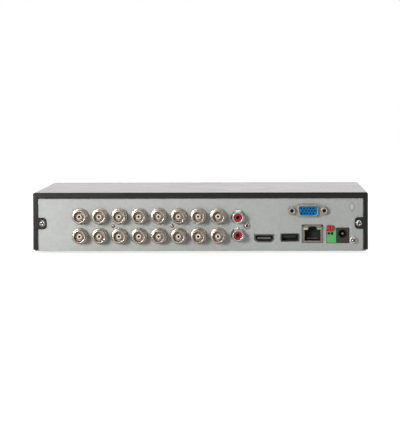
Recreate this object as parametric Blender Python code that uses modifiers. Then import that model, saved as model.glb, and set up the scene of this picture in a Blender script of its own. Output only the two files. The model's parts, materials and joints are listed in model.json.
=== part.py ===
"""A compact sixteen-channel video recorder, modelled as the assembly it comes apart into.

+Z is up, +Y points from the connector panel at the rear to the bezel at the front, and +X is to
the right of someone who faces the connector panel. The origin is at the centre of the overall
box, level with the feet. All sizes are in metres.
"""

import math

import bmesh
import bpy
from mathutils import Matrix, Vector

# Overall sizes
CASE_WIDTH = 0.2600
OVERALL_DEPTH = 0.2324  # mouths of the video jacks to the face of the bezel
OVERALL_HEIGHT = 0.0476

# Sheet metal, fits and feet
SHEET = 0.0010
GAP = 0.0003  # left between pieces that touch
FOOT_HEIGHT = 0.0020
FOOT_RADIUS = 0.0070
FOOT_FROM_SIDE = 0.0270
FOOT_FROM_END = 0.0450
TRAY_SIDE_HEIGHT = 0.0120
COVER_SIDE_LIFT = 0.0012  # how far the cover's sides end above the underside of the tray

# Rear frame of the cover, with a screw tab on each side
FRAME_SIDE = 0.0038
FRAME_TOP = 0.0047
TAB_REACH = 0.0104  # from the outer side of the cover
TAB_HEIGHT = 0.0091
TAB_CORNER = 0.0026
TAB_ABOVE_FEET = 0.02375
COVER_SCREW_FROM_SIDE = 0.0072

# Cooling slots in the cover's sides
SLOT_WIDTH = 0.0024
SLOT_HEIGHT = 0.0170
SLOT_PITCH = 0.0054
SLOT_COUNT = 8

# Front bezel
BEZEL_DEPTH = 0.0140
BEZEL_WALL = 0.0022
BEZEL_CORNER = 0.0014
LIGHT_COUNT = 3
LIGHT_PITCH = 0.0120
LIGHT_SIZE = (0.0060, 0.0020)
LIGHTS_FROM_SIDE = 0.0750
FRONT_USB_FROM_SIDE = 0.0300
FRONT_PORT_ABOVE_FEET = 0.0190

# Main board on its standoffs
STANDOFF_HEIGHT = 0.0032
STANDOFF_RADIUS = 0.0030
BOARD_THICKNESS = 0.0016
BOARD_DEPTH = 0.0880
BOARD_SIDE_MARGIN = 0.0070
BOARD_REAR_MARGIN = 0.0010
PARTS_ROW = 0.62  # share of the board's depth from its rear edge to the row of soldered parts
COIN_CELL = (0.72, 0.0100, 0.0050)  # share of the half width from the middle, radius, height
BUZZER = (0.52, 0.0060, 0.0080)
DECODER_COUNT = 4
DECODER_SIZE = 0.0140
DECODER_PITCH = 0.0300
DECODER_START = 0.85  # share of the half width from the middle to the first one

# Video and audio jacks: two rows of eight, and a pair of audio jacks as the ninth column
JACK_COLUMNS = 8
JACK_PITCH = 0.01533
JACK_ROW_PITCH = 0.01535
JACK_FROM_SIDE = 0.0366
LOWER_ROW_ABOVE_BOARD = 0.0059
JACK_REACH = 0.0135
JACK_MOUTH_RADIUS = 0.0041
JACK_BARREL_RADIUS = 0.0048
JACK_BASE_RADIUS = 0.0063
JACK_BASE_HEIGHT = 0.0032
JACK_SHANK_RADIUS = 0.0043
JACK_CORE_RADIUS = 0.0022
JACK_CONTACT_RADIUS = 0.0008
JACK_FLOOR = 0.0042
LUG_SIZE = (0.0014, 0.0020, 0.0020)
LUG_BELOW_MOUTH = 0.0052
ROUND_FACETS = 12

AUDIO_PITCH = 0.0139
AUDIO_REACH = 0.0125
AUDIO_BORE_RADIUS = 0.0033
AUDIO_BARREL_RADIUS = 0.00415
AUDIO_BASE_RADIUS = 0.0056
AUDIO_BASE_HEIGHT = 0.0022
AUDIO_SHANK_RADIUS = 0.0040
AUDIO_HOLE_RADIUS = 0.0016
AUDIO_LINER_RECESS = 0.0008

JACK_BLOCK_DEPTH = 0.0120
JACK_BLOCK_GAP = 0.0007  # to the digital video socket
BLOCK_SCREW_BEFORE_COLUMN = 0.0051
BLOCK_SCREW_COLUMNS = (2, 5)
AUDIO_SCREW_OFFSET = 0.0068
SCREW_HOLE_DEPTH = 0.0060

# Port row on the right, laid out from the right side inwards
POWER_JACK_GAP = 0.0009
POWER_JACK_SIZE = (0.0096, 0.0114)
POWER_JACK_DEPTH = 0.0140
POWER_JACK_PROUD = 0.0010
POWER_BORE_RADIUS = 0.0032
POWER_BORE_DEPTH = 0.0095
POWER_BORE_ABOVE_BOARD = 0.0074
POWER_PIN_RADIUS = 0.0010
PIN_SOCKET_DEPTH = 0.0025
TERMINAL_SIZE = (0.0072, 0.0104)
TERMINAL_DEPTH = 0.0140
TERMINAL_PROUD = 0.0016
WIRE_HOLE_RADIUS = 0.0008
WIRE_HOLE_DEPTH = 0.0060
WIRE_HOLE_ABOVE_BOARD = 0.0076
LEVER_PITCH = 0.00262
LEVER_WIDTH = 0.0023
LEVER_HEIGHT = 0.0041
LEVER_LENGTH = 0.0080
LEVER_PROUD = 0.0012  # beyond the face of the terminal block
LEVER_TRAVEL = 0.0015
LEVER_SINK = 0.0013  # how far the levers sit below the top of the block
LAN_GAP = 0.0031
LAN_SIZE = (0.0160, 0.0138)
LAN_DEPTH = 0.0170
LAN_PROUD = 0.0008
LAN_SKIN = 0.0004
LAN_SOCKET = (0.0118, 0.0082, 0.0120)
LAN_LATCH = (0.0062, 0.0024)
LAN_SOCKET_ABOVE_BOARD = 0.0022
USB_GAP = 0.0030
USB_SIZE = (0.0132, 0.0058)
USB_DEPTH = 0.0120
USB_SKIN = 0.0004
USB_TONGUE = 0.0019
USB_ABOVE_BOARD = 0.0012
DIGITAL_GAP = 0.0058
DIGITAL_SIZE = (0.0150, 0.0058)
DIGITAL_FOOT_WIDTH = 0.0106
DIGITAL_DEPTH = 0.0110
DIGITAL_SKIN = 0.0004
DIGITAL_TONGUE = 0.0013
DIGITAL_TONGUE_RISE = 0.55  # share of the socket's height to the middle of its tongue
DIGITAL_SHOULDER = 0.36  # share of the height where the lower corners are cut off
DIGITAL_ABOVE_BOARD = 0.0006
PORT_BACK = 0.0040  # thickness of the moulding behind a socket's tongue
PORT_PROUD = 0.0003
GROUND_FROM_SIDE = 0.0107
GROUND_ABOVE_FEET = 0.0102

# Monitor socket above the port row
VGA_ABOVE_FEET = 0.0334
VGA_FROM_LAN = 0.0034
VGA_TOP_WIDTH = 0.0163
VGA_HEIGHT = 0.0079
VGA_SLANT = math.radians(10.0)
VGA_PROUD = 0.0058
VGA_SKIN = 0.0004
VGA_PLATE = (0.0308, 0.0125, 0.0008)
VGA_EAR = (0.0058, 0.0068)  # length and end height of the plate's ears, round the jackscrews
VGA_EAR_ROOT = 0.0080
VGA_SCREW_SPACING = 0.0250
VGA_CUTOUT_MARGIN = 0.0015
VGA_BODY_DEPTH = 0.0060
PIN_PITCH = 0.00229
PIN_ROW_PITCH = 0.00198
PIN_HOLE_RADIUS = 0.0005
PIN_HOLE_DEPTH = 0.0030
JACKSCREW_FLATS = 0.0048
JACKSCREW_LENGTH = 0.0042
JACKSCREW_DEPTH = 0.8  # share of the length that is threaded inside
JACKSCREW_HOLE_RADIUS = 0.0014
RISER_THICKNESS = 0.0016
RISER_SIZE = (0.0380, 0.0300)

# Small screws: head radius, head height, shank radius
COVER_SCREW = (0.00255, 0.0017, 0.0013)
BLOCK_SCREW = (0.0014, 0.0008, 0.0009)
AUDIO_SCREW = (0.00265, 0.0016, 0.0013)
GROUND_SCREW = (0.0026, 0.0018, 0.0015)
GROUND_WASHER = (0.0032, 0.0005)
SCREW_DOME = (0.70, 0.45)  # share of the head that is flat, share of its height at the rim
SHANK_LENGTH = 0.0050

# Stamped lozenge on the connector panel
LOZENGE_FROM_SIDE = 0.0124
LOZENGE_ABOVE_FEET = 0.0361
LOZENGE_SIZE = (0.0044, 0.0068)
LOZENGE_PROUD = 0.0004

# Hard disk, flat on four pads at the front left
DISK_SIZE = (0.1470, 0.1016, 0.0261)
DISK_FROM_SIDE = 0.0150
DISK_FROM_BEZEL = 0.0040
DISK_HOLE_SPACING = (0.0762, 0.0953)
DISK_LID_STEP = 0.0015
PAD_HEIGHT = 0.0012
PAD_RADIUS = 0.0045
PAD_HOLE_RADIUS = 0.0018

# Fan behind the right-hand slots
FAN_SIZE = 0.0400
FAN_THICKNESS = 0.0100
FAN_FROM_BEZEL = 0.0420
FAN_BORE_RADIUS = 0.0189
FAN_BLADE_CLEARANCE = 0.0008
FAN_HUB_RADIUS = 0.0080
FAN_BLADES = 7
FAN_BLADE_THICKNESS = 0.0009
FAN_ROOT = 0.80  # share of the hub's radius where a blade starts
FAN_CHORD = 0.95  # share of the hub's length that a blade takes
FAN_BLADE_TILT = math.radians(38.0)
FAN_STRUT = 0.0020
FAN_SEAT_RADIUS = 0.0070

# Heat sink, lead and front board
SINK_SIZE = (0.0360, 0.0360, 0.0120)
SINK_BASE = 0.0030
SINK_FINS = 9
SINK_PLACE = (0.18, 0.60)  # shares of the case's half width and of the board's depth
CHIP_SHARE = 0.35  # half width of the processor as a share of the sink's width
CHIP_HEIGHT = 0.0018
LEAD_RADIUS = 0.0016
LEAD_ABOVE_DISK_FLOOR = 0.0060
LEAD_SOCKET = (0.0200, 0.0120)  # to the right of the disk's end, behind the board's front edge
LEAD_SWING = (0.0300, 0.0060)  # how far the lead's ends run out and up before they curve
LEAD_STEPS = 14
FRONT_BOARD_SIZE = (0.0640, 0.0180)
FRONT_BOARD_THICKNESS = 0.0012

MERGE_DISTANCE = 0.00001

# Planes that the pieces share
HALF_WIDTH = CASE_WIDTH / 2
PANEL_OUTSIDE = -OVERALL_DEPTH / 2 + JACK_REACH
PANEL_INSIDE = PANEL_OUTSIDE + SHEET
COVER_REAR = PANEL_OUTSIDE - GAP - SHEET
BEZEL_FACE = OVERALL_DEPTH / 2
BEZEL_BACK = BEZEL_FACE - BEZEL_DEPTH
WALL_OUTSIDE = BEZEL_BACK - GAP
WALL_INSIDE = WALL_OUTSIDE - SHEET
TRAY_UNDERSIDE = FOOT_HEIGHT
TRAY_FLOOR = TRAY_UNDERSIDE + SHEET
COVER_UNDERSIDE = OVERALL_HEIGHT - SHEET
TRAY_TOP = COVER_UNDERSIDE - GAP
TRAY_HALF = HALF_WIDTH - SHEET - GAP
BOARD_UNDERSIDE = TRAY_FLOOR + STANDOFF_HEIGHT + GAP
BOARD_TOP = BOARD_UNDERSIDE + BOARD_THICKNESS
PORT_FLOOR = BOARD_TOP + GAP
JACK_MIDDLE = BOARD_TOP + LOWER_ROW_ABOVE_BOARD + JACK_ROW_PITCH / 2
JACK_LEFT = -HALF_WIDTH + JACK_FROM_SIDE
AUDIO_X = JACK_LEFT + JACK_COLUMNS * JACK_PITCH
GROUND_X = HALF_WIDTH - GROUND_FROM_SIDE
POWER_X = GROUND_X - GROUND_WASHER[0] - POWER_JACK_GAP - POWER_JACK_SIZE[0] / 2
TERMINAL_X = POWER_X - POWER_JACK_SIZE[0] / 2 - GAP - TERMINAL_SIZE[0] / 2
LAN_X = TERMINAL_X - TERMINAL_SIZE[0] / 2 - LAN_GAP - LAN_SIZE[0] / 2
USB_X = LAN_X - LAN_SIZE[0] / 2 - USB_GAP - USB_SIZE[0] / 2
DIGITAL_X = USB_X - USB_SIZE[0] / 2 - DIGITAL_GAP - DIGITAL_SIZE[0] / 2
USB_FLOOR = PORT_FLOOR + USB_ABOVE_BOARD
DIGITAL_FLOOR = PORT_FLOOR + DIGITAL_ABOVE_BOARD
VGA_X = LAN_X - VGA_FROM_LAN
TERMINAL_FACE = PANEL_OUTSIDE - TERMINAL_PROUD
TERMINAL_TOP = PORT_FLOOR + TERMINAL_SIZE[1]
LEVERS_LEFT = TERMINAL_X - TERMINAL_SIZE[0] / 2 + GAP
LEVER_FLOOR = TERMINAL_TOP - LEVER_SINK
POWER_BORE_Z = BOARD_TOP + POWER_BORE_ABOVE_BOARD
DISK_LEFT = -HALF_WIDTH + DISK_FROM_SIDE
DISK_FRONT = BEZEL_BACK - DISK_FROM_BEZEL
DISK_FLOOR = TRAY_FLOOR + PAD_HEIGHT + GAP
FAN_Y = BEZEL_BACK - FAN_FROM_BEZEL
FAN_X = TRAY_HALF - SHEET - GAP - FAN_THICKNESS / 2
FAN_Z = TRAY_FLOOR + GAP + FAN_SIZE / 2
FRONT_USB_X = HALF_WIDTH - FRONT_USB_FROM_SIDE
LIGHTS_X = HALF_WIDTH - LIGHTS_FROM_SIDE

FACE_REAR = Matrix.Rotation(math.radians(90.0), 4, "X")  # turns local +Z to -Y
FACE_RIGHT = Matrix.Rotation(math.radians(90.0), 4, "Y")  # turns local +Z to +X

COLOURS = {  # base colour, roughness, metallic
    "galvanised_steel": ((0.42, 0.45, 0.43), 0.45, 0.9),
    "black_paint": ((0.02, 0.02, 0.02), 0.45, 0.0),
    "black_plastic": ((0.015, 0.015, 0.016), 0.40, 0.0),
    "gloss_plastic": ((0.012, 0.012, 0.013), 0.12, 0.0),
    "light_pipe": ((0.75, 0.78, 0.80), 0.25, 0.0),
    "rubber": ((0.03, 0.03, 0.03), 0.80, 0.0),
    "nickel": ((0.62, 0.56, 0.49), 0.25, 1.0),
    "screw_steel": ((0.60, 0.57, 0.53), 0.30, 1.0),
    "tinned_steel": ((0.50, 0.50, 0.49), 0.35, 1.0),
    "red_plastic": ((0.60, 0.03, 0.03), 0.40, 0.0),
    "green_plastic": ((0.10, 0.42, 0.14), 0.45, 0.0),
    "blue_plastic": ((0.00, 0.15, 0.55), 0.45, 0.0),
    "circuit_board": ((0.02, 0.16, 0.07), 0.50, 0.0),
    "black_aluminium": ((0.03, 0.03, 0.03), 0.45, 0.6),
    "cast_aluminium": ((0.35, 0.35, 0.36), 0.50, 0.9),
    "red_lead": ((0.50, 0.03, 0.02), 0.50, 0.0),
}


def clear_scene():
    for obj in list(bpy.data.objects):
        bpy.data.objects.remove(obj)


def make_collection(name):
    collection = bpy.data.collections.new(name)
    bpy.context.scene.collection.children.link(collection)
    return collection


def material(name):
    found = bpy.data.materials.get(name)
    if found:
        return found
    colour, roughness, metallic = COLOURS[name]
    made = bpy.data.materials.new(name)
    made.use_nodes = True
    shader = made.node_tree.nodes["Principled BSDF"]
    shader.inputs["Base Color"].default_value = (*colour, 1.0)
    shader.inputs["Roughness"].default_value = roughness
    shader.inputs["Metallic"].default_value = metallic
    return made


def add(name, mesh, finish, place=None):
    """Adds a mesh to the recorder, or as a cutter or helper where it has no finish."""
    obj = bpy.data.objects.new(name, mesh)
    if finish:
        RECORDER.objects.link(obj)
        if not mesh.materials:
            mesh.materials.append(material(finish))
    else:
        HELPERS.objects.link(obj)
        obj.hide_render = True
        obj.display_type = "WIRE"
    obj.matrix_world = place or Matrix.Identity(4)
    return obj


def from_bmesh(name, shape):
    mesh = bpy.data.meshes.new(name)
    shape.to_mesh(mesh)
    shape.free()
    return mesh


def block(size):
    """A box-shaped bmesh, centred."""
    shape = bmesh.new()
    bmesh.ops.create_cube(shape, size=1.0)
    bmesh.ops.scale(shape, vec=size, verts=shape.verts)
    return shape


def box(name, low, high, finish=None):
    low, high = Vector(low), Vector(high)
    middle = Matrix.Translation((low + high) / 2)
    return add(name, from_bmesh(name, block(high - low)), finish, middle)


def folded_sheet(name, shape, middle, finish):
    """Thickens an open box inwards by the thickness of the sheet."""
    obj = add(name, from_bmesh(name, shape), finish, Matrix.Translation(middle))
    wall = obj.modifiers.new("sheet", "SOLIDIFY")
    wall.thickness = SHEET
    wall.use_even_offset = True
    return obj


def cylinder(name, radius, start, length, turn, finish=None, facets=ROUND_FACETS):
    """A cylinder that starts at a point and runs along the turned +Z."""
    shape = bmesh.new()
    bmesh.ops.create_cone(
        shape, cap_ends=True, segments=facets, radius1=radius, radius2=radius, depth=length
    )
    bmesh.ops.translate(shape, vec=(0, 0, length / 2), verts=shape.verts)
    return add(name, from_bmesh(name, shape), finish, Matrix.Translation(start) @ turn)


def turned(name, profile, finish=None, place=None, facets=ROUND_FACETS):
    """A solid of revolution about local Z, its profile running down the outer side."""
    mesh = bpy.data.meshes.new(name)
    links = [(i, i + 1) for i in range(len(profile) - 1)]
    mesh.from_pydata([(radius, 0, height) for radius, height in profile], links, [])
    obj = add(name, mesh, finish, place)
    screw = obj.modifiers.new("turn", "SCREW")
    screw.steps = screw.render_steps = facets
    screw.use_merge_vertices = True
    screw.merge_threshold = MERGE_DISTANCE
    return obj


def settle(obj):
    """Turns a curve, or a mesh with its modifiers, into a plain mesh object of the same name."""
    graph = bpy.context.evaluated_depsgraph_get()
    mesh = bpy.data.meshes.new_from_object(obj.evaluated_get(graph))
    shape = bmesh.new()
    shape.from_mesh(mesh)
    bmesh.ops.remove_doubles(shape, verts=shape.verts, dist=MERGE_DISTANCE)
    shape.to_mesh(mesh)
    shape.free()
    name, place, finish = obj.name, obj.matrix_world.copy(), None
    if mesh.materials and not obj.hide_render:
        finish = mesh.materials[0].name
    bpy.data.objects.remove(obj)
    return add(name, mesh, finish, place)


def prism(name, outline, start, length, turn, finish=None):
    """A flat outline in local X and Y, extruded from a point along the turned +Z."""
    curve = bpy.data.curves.new(name, "CURVE")
    curve.dimensions = "2D"
    curve.fill_mode = "BOTH"
    curve.extrude = length / 2
    spline = curve.splines.new("POLY")
    spline.points.add(len(outline) - 1)
    for point, (x, y) in zip(spline.points, outline):
        point.co = (x, y, 0, 1)
    spline.use_cyclic_u = True
    middle = Matrix.Translation((0, 0, length / 2))
    if finish:
        curve.materials.append(material(finish))
    flat = add(name, curve, finish, Matrix.Translation(start) @ turn @ middle)
    bpy.context.view_layer.update()
    return settle(flat)


def boolean(obj, others, operation):
    """Cuts or joins the other objects, which stay as hidden helpers."""
    for other in others if isinstance(others, list) else [others]:
        change = obj.modifiers.new(operation.lower(), "BOOLEAN")
        change.operation = operation
        change.object = other
    return obj


def boolean_group(obj, others, operation):
    """Cuts or joins many objects that don't touch each other in one step."""
    group = bpy.data.collections.new(obj.name + "_" + operation.lower())
    HELPERS.children.link(group)
    for other in others:
        HELPERS.objects.unlink(other)
        group.objects.link(other)
    change = obj.modifiers.new(operation.lower(), "BOOLEAN")
    change.operation = operation
    change.operand_type = "COLLECTION"
    change.collection = group
    return obj


def rounded(corners, radius, steps=3):
    """The outline through the corners, each one replaced by an arc."""
    points = []
    for i, corner in enumerate(corners):
        here = Vector(corner)
        before = (Vector(corners[i - 1]) - here).normalized()
        after = (Vector(corners[(i + 1) % len(corners)]) - here).normalized()
        half = before.angle(after) / 2
        centre = here + (before + after).normalized() * radius / math.sin(half)
        start = here + before * radius / math.tan(half) - centre
        sweep = start.angle_signed(here + after * radius / math.tan(half) - centre)
        for step in range(steps + 1):
            points.append(centre + Matrix.Rotation(-sweep * step / steps, 2) @ start)
    return points


def jack_places():
    """The video jacks' numbers and centres, the upper row first."""
    for row, side in enumerate((1, -1)):
        for column in range(JACK_COLUMNS):
            x = JACK_LEFT + column * JACK_PITCH
            yield row * JACK_COLUMNS + column + 1, x, JACK_MIDDLE + side * JACK_ROW_PITCH / 2


def audio_places():
    yield "top", AUDIO_X, JACK_MIDDLE + AUDIO_PITCH / 2
    yield "bottom", AUDIO_X, JACK_MIDDLE - AUDIO_PITCH / 2


def block_screw_places():
    names = ("left", "middle")
    for name, column in zip(names, BLOCK_SCREW_COLUMNS):
        yield name, JACK_LEFT + column * JACK_PITCH - BLOCK_SCREW_BEFORE_COLUMN


def digital_outline(margin):
    """The socket's outline, wide at the top, with its lower corners cut off."""
    half, foot = DIGITAL_SIZE[0] / 2 + margin, DIGITAL_FOOT_WIDTH / 2 + margin
    low, high = -margin, DIGITAL_SIZE[1] + margin
    shoulder = low + DIGITAL_SIZE[1] * DIGITAL_SHOULDER
    right = [(half, high), (half, shoulder), (foot, low)]
    return right + [(-x, z) for x, z in reversed(right)]


def vga_outline(margin, corner):
    """The D shape of the monitor socket, centred, its sides leaning in towards the bottom."""
    half, high = VGA_TOP_WIDTH / 2 + margin, VGA_HEIGHT / 2 + margin
    foot = half - 2 * high * math.tan(VGA_SLANT)
    return rounded([(half, high), (foot, -high), (-foot, -high), (-half, high)], corner)


def panel_cutters():
    """Everything that is cut through the connector panel."""
    front, depth = PANEL_OUTSIDE - SHEET, 3 * SHEET
    through = (front, front + depth)
    cutters = []

    def round_hole(name, radius, x, z):
        start = (x, front + depth, z)
        cutters.append(cylinder("cut_" + name, radius + GAP, start, depth, FACE_REAR))

    def square_hole(name, x, width, low, high):
        corner_low = (x - width / 2 - GAP, through[0], low - GAP)
        corner_high = (x + width / 2 + GAP, through[1], high + GAP)
        cutters.append(box("cut_" + name, corner_low, corner_high))

    for number, x, z in jack_places():
        round_hole(f"video_{number}", JACK_SHANK_RADIUS, x, z)
    for name, x, z in audio_places():
        round_hole("audio_" + name, AUDIO_SHANK_RADIUS, x, z)
    for name, x in block_screw_places():
        round_hole("block_screw_" + name, BLOCK_SCREW[2], x, JACK_MIDDLE)
    round_hole("audio_screw", AUDIO_SCREW[2], AUDIO_X + AUDIO_SCREW_OFFSET, JACK_MIDDLE)
    round_hole("ground_screw", GROUND_SCREW[2], GROUND_X, GROUND_ABOVE_FEET)
    for name, side in (("left", -1), ("right", 1)):
        x = side * (HALF_WIDTH - COVER_SCREW_FROM_SIDE)
        round_hole("cover_screw_" + name, COVER_SCREW[2], x, TAB_ABOVE_FEET)
        x = VGA_X + side * VGA_SCREW_SPACING / 2
        round_hole("jackscrew_" + name, JACKSCREW_HOLE_RADIUS, x, VGA_ABOVE_FEET)

    square_hole("usb", USB_X, USB_SIZE[0], USB_FLOOR, USB_FLOOR + USB_SIZE[1])
    square_hole("lan", LAN_X, LAN_SIZE[0], PORT_FLOOR, PORT_FLOOR + LAN_SIZE[1])
    square_hole("power", POWER_X, POWER_JACK_SIZE[0], PORT_FLOOR, PORT_FLOOR + POWER_JACK_SIZE[1])
    levers = LEVER_PITCH + LEVER_WIDTH
    square_hole(
        "levers", LEVERS_LEFT + levers / 2, levers, PORT_FLOOR, LEVER_FLOOR + LEVER_HEIGHT
    )
    start = (DIGITAL_X, through[1], DIGITAL_FLOOR)
    cutters.append(prism("cut_digital", digital_outline(GAP), start, depth, FACE_REAR))
    start = (VGA_X, through[1], VGA_ABOVE_FEET)
    outline = vga_outline(VGA_CUTOUT_MARGIN, VGA_HEIGHT / 3)
    cutters.append(prism("cut_vga", outline, start, depth, FACE_REAR))
    terminal = box(
        "cut_terminal",
        (TERMINAL_X - TERMINAL_SIZE[0] / 2 - GAP, through[0], PORT_FLOOR - GAP),
        (TERMINAL_X + TERMINAL_SIZE[0] / 2 + GAP, through[1], TERMINAL_TOP + GAP),
    )
    return cutters, terminal


def front_wall_cutters():
    """Openings in the tray's front wall for the indicator lights and the front socket."""
    y = (WALL_INSIDE - SHEET, WALL_OUTSIDE + SHEET)
    width, height = USB_SIZE[0] / 2 + GAP, USB_SIZE[1] / 2 + GAP
    lights = (LIGHT_COUNT * LIGHT_PITCH) / 2
    light_half = LIGHT_SIZE[1]
    z = FRONT_PORT_ABOVE_FEET
    usb = box(
        "cut_front_usb",
        (FRONT_USB_X - width, y[0], z - height),
        (FRONT_USB_X + width, y[1], z + height),
    )
    pipe = box(
        "cut_front_lights",
        (LIGHTS_X - lights, y[0], z - light_half),
        (LIGHTS_X + lights, y[1], z + light_half),
    )
    return [usb, pipe]


def standoff_places():
    half = TRAY_HALF - SHEET - BOARD_SIDE_MARGIN - 2 * STANDOFF_RADIUS
    rear = PANEL_INSIDE + JACK_BLOCK_DEPTH + 4 * STANDOFF_RADIUS
    front = PANEL_INSIDE + BOARD_REAR_MARGIN + BOARD_DEPTH - 2 * STANDOFF_RADIUS
    return [(x, y) for y in (rear, front) for x in (-half, 0, half)]


def disk_hole_places():
    x = DISK_LEFT + DISK_SIZE[0] / 2
    y = DISK_FRONT - DISK_SIZE[1] / 2
    half_x, half_y = DISK_HOLE_SPACING[0] / 2, DISK_HOLE_SPACING[1] / 2
    return [(x + side * half_x, y + end * half_y) for side in (-1, 1) for end in (-1, 1)]


def make_tray():
    """Galvanised tray: floor, low sides, full-height connector panel and front wall."""
    low = Vector((-TRAY_HALF, PANEL_OUTSIDE, TRAY_UNDERSIDE))
    high = Vector((TRAY_HALF, WALL_OUTSIDE, TRAY_TOP))
    middle = (low + high) / 2
    shape = block(high - low)
    lid = [f for f in shape.faces if f.normal.z > 0.5]
    bmesh.ops.delete(shape, geom=lid, context="FACES")
    tray = folded_sheet("chassis_tray", shape, middle, "galvanised_steel")

    sink = SHEET / 2
    bosses = [
        cylinder(
            f"standoff_{i}",
            STANDOFF_RADIUS,
            (x, y, TRAY_FLOOR - sink),
            STANDOFF_HEIGHT + sink,
            Matrix.Identity(4),
            facets=6,
        )
        for i, (x, y) in enumerate(standoff_places())
    ]
    bosses += [
        cylinder(
            f"disk_pad_{i}",
            PAD_RADIUS,
            (x, y, TRAY_FLOOR - sink),
            PAD_HEIGHT + sink,
            Matrix.Identity(4),
        )
        for i, (x, y) in enumerate(disk_hole_places())
    ]
    half_x, half_z = LOZENGE_SIZE[0] / 2, LOZENGE_SIZE[1] / 2
    outline = rounded([(half_x, 0), (0, -half_z), (-half_x, 0), (0, half_z)], half_x / 4)
    start = (HALF_WIDTH - LOZENGE_FROM_SIDE, PANEL_OUTSIDE + sink, LOZENGE_ABOVE_FEET)
    bosses.append(prism("lozenge", outline, start, LOZENGE_PROUD + sink, FACE_REAR))
    boolean_group(tray, bosses, "UNION")

    cutters, terminal = panel_cutters()
    cutters += front_wall_cutters()
    for side in (-1, 1):
        x = sorted((side * (TRAY_HALF - 1.5 * SHEET), side * (TRAY_HALF + SHEET)))
        cutters.append(
            box(
                f"cut_tray_side_{side}",
                (x[0], PANEL_INSIDE, TRAY_UNDERSIDE + TRAY_SIDE_HEIGHT),
                (x[1], WALL_INSIDE, TRAY_TOP + SHEET),
            )
        )
    cutters += [
        cylinder(
            f"cut_disk_hole_{i}",
            PAD_HOLE_RADIUS,
            (x, y, TRAY_UNDERSIDE - SHEET),
            PAD_HEIGHT + 4 * SHEET,
            Matrix.Identity(4),
            facets=8,
        )
        for i, (x, y) in enumerate(disk_hole_places())
    ]
    boolean_group(tray, cutters, "DIFFERENCE")
    boolean(tray, terminal, "DIFFERENCE")


def frame_opening():
    """The outline that the cover's rear frame leaves open, with a tab reaching in from each side."""
    half = HALF_WIDTH - FRAME_SIDE
    tab = HALF_WIDTH - TAB_REACH
    high = OVERALL_HEIGHT - FRAME_TOP
    upper, lower = TAB_ABOVE_FEET + TAB_HEIGHT / 2, TAB_ABOVE_FEET - TAB_HEIGHT / 2
    right = [(half, high), (half, upper)]
    for corner in (90, 180):
        for step in range(4):
            angle = math.radians(corner + 30 * step)
            middle_x = tab + TAB_CORNER
            middle_z = (upper if corner == 90 else lower) + TAB_CORNER * (1 if corner == 180 else -1)
            right.append(
                (middle_x + TAB_CORNER * math.cos(angle), middle_z + TAB_CORNER * math.sin(angle))
            )
    right += [(half, lower), (half, -SHEET)]
    return right + [(-x, z) for x, z in reversed(right)]


def make_cover():
    """Black painted cover: top and sides in one folded sheet, with the rear frame and its tabs."""
    low = Vector((-HALF_WIDTH, COVER_REAR, TRAY_UNDERSIDE + COVER_SIDE_LIFT))
    high = Vector((HALF_WIDTH, BEZEL_BACK - GAP, OVERALL_HEIGHT))
    shape = block(high - low)
    open_sides = [f for f in shape.faces if f.normal.z < -0.5 or f.normal.y > 0.5]
    bmesh.ops.delete(shape, geom=open_sides, context="FACES")
    cover = folded_sheet("top_cover", shape, (low + high) / 2, "black_paint")

    start = (0, COVER_REAR + 2 * SHEET, 0)
    opening = prism("cut_frame_opening", frame_opening(), start, 3 * SHEET, FACE_REAR)
    cutters = [opening]
    for side in (-1, 1):
        hole = (side * (HALF_WIDTH - COVER_SCREW_FROM_SIDE), COVER_REAR + 2 * SHEET, TAB_ABOVE_FEET)
        radius = COVER_SCREW[2] + GAP
        cutters.append(cylinder(f"cut_tab_{side}", radius, hole, 3 * SHEET, FACE_REAR, facets=8))
        first = FAN_Y - (SLOT_COUNT - 1) * SLOT_PITCH / 2
        middle = OVERALL_HEIGHT / 2
        for i in range(SLOT_COUNT):
            y = first + i * SLOT_PITCH
            x = side * HALF_WIDTH
            cutters.append(
                box(
                    f"cut_slot_{side}_{i}",
                    (x - 2 * SHEET, y - SLOT_WIDTH / 2, middle - SLOT_HEIGHT / 2),
                    (x + 2 * SHEET, y + SLOT_WIDTH / 2, middle + SLOT_HEIGHT / 2),
                )
            )
    boolean_group(cover, cutters, "DIFFERENCE")


def make_bezel():
    """Hollow plastic front with openings for the indicator lights and the front socket."""
    low = Vector((-HALF_WIDTH, BEZEL_BACK, TRAY_UNDERSIDE))
    high = Vector((HALF_WIDTH, BEZEL_FACE, OVERALL_HEIGHT))
    shape = block(high - low)
    edges = [e for e in shape.edges if max(v.co.y for v in e.verts) > 0]
    bmesh.ops.bevel(
        shape, geom=edges, offset=BEZEL_CORNER, offset_type="OFFSET", segments=2, profile=0.5,
        affect="EDGES",
    )
    mesh = from_bmesh("front_bezel", shape)
    bezel = add("front_bezel", mesh, "gloss_plastic", Matrix.Translation((low + high) / 2))
    inset = Vector((BEZEL_WALL, BEZEL_WALL, BEZEL_WALL))
    hollow_low = low + inset - Vector((0, 2 * BEZEL_WALL, 0))
    boolean(bezel, box("cut_bezel_hollow", hollow_low, high - inset), "DIFFERENCE")

    y = (BEZEL_FACE - 2 * BEZEL_WALL, BEZEL_FACE + BEZEL_WALL)
    z = FRONT_PORT_ABOVE_FEET
    width, height = USB_SIZE[0] / 2 + GAP, USB_SIZE[1] / 2 + GAP
    cutters = [
        box(
            "cut_bezel_usb",
            (FRONT_USB_X - width, y[0], z - height),
            (FRONT_USB_X + width, y[1], z + height),
        )
    ]
    for i, x in enumerate(light_places()):
        half_x, half_z = LIGHT_SIZE[0] / 2 + GAP, LIGHT_SIZE[1] / 2 + GAP
        cutters.append(
            box(f"cut_light_{i}", (x - half_x, y[0], z - half_z), (x + half_x, y[1], z + half_z))
        )
    boolean_group(bezel, cutters, "DIFFERENCE")


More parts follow.
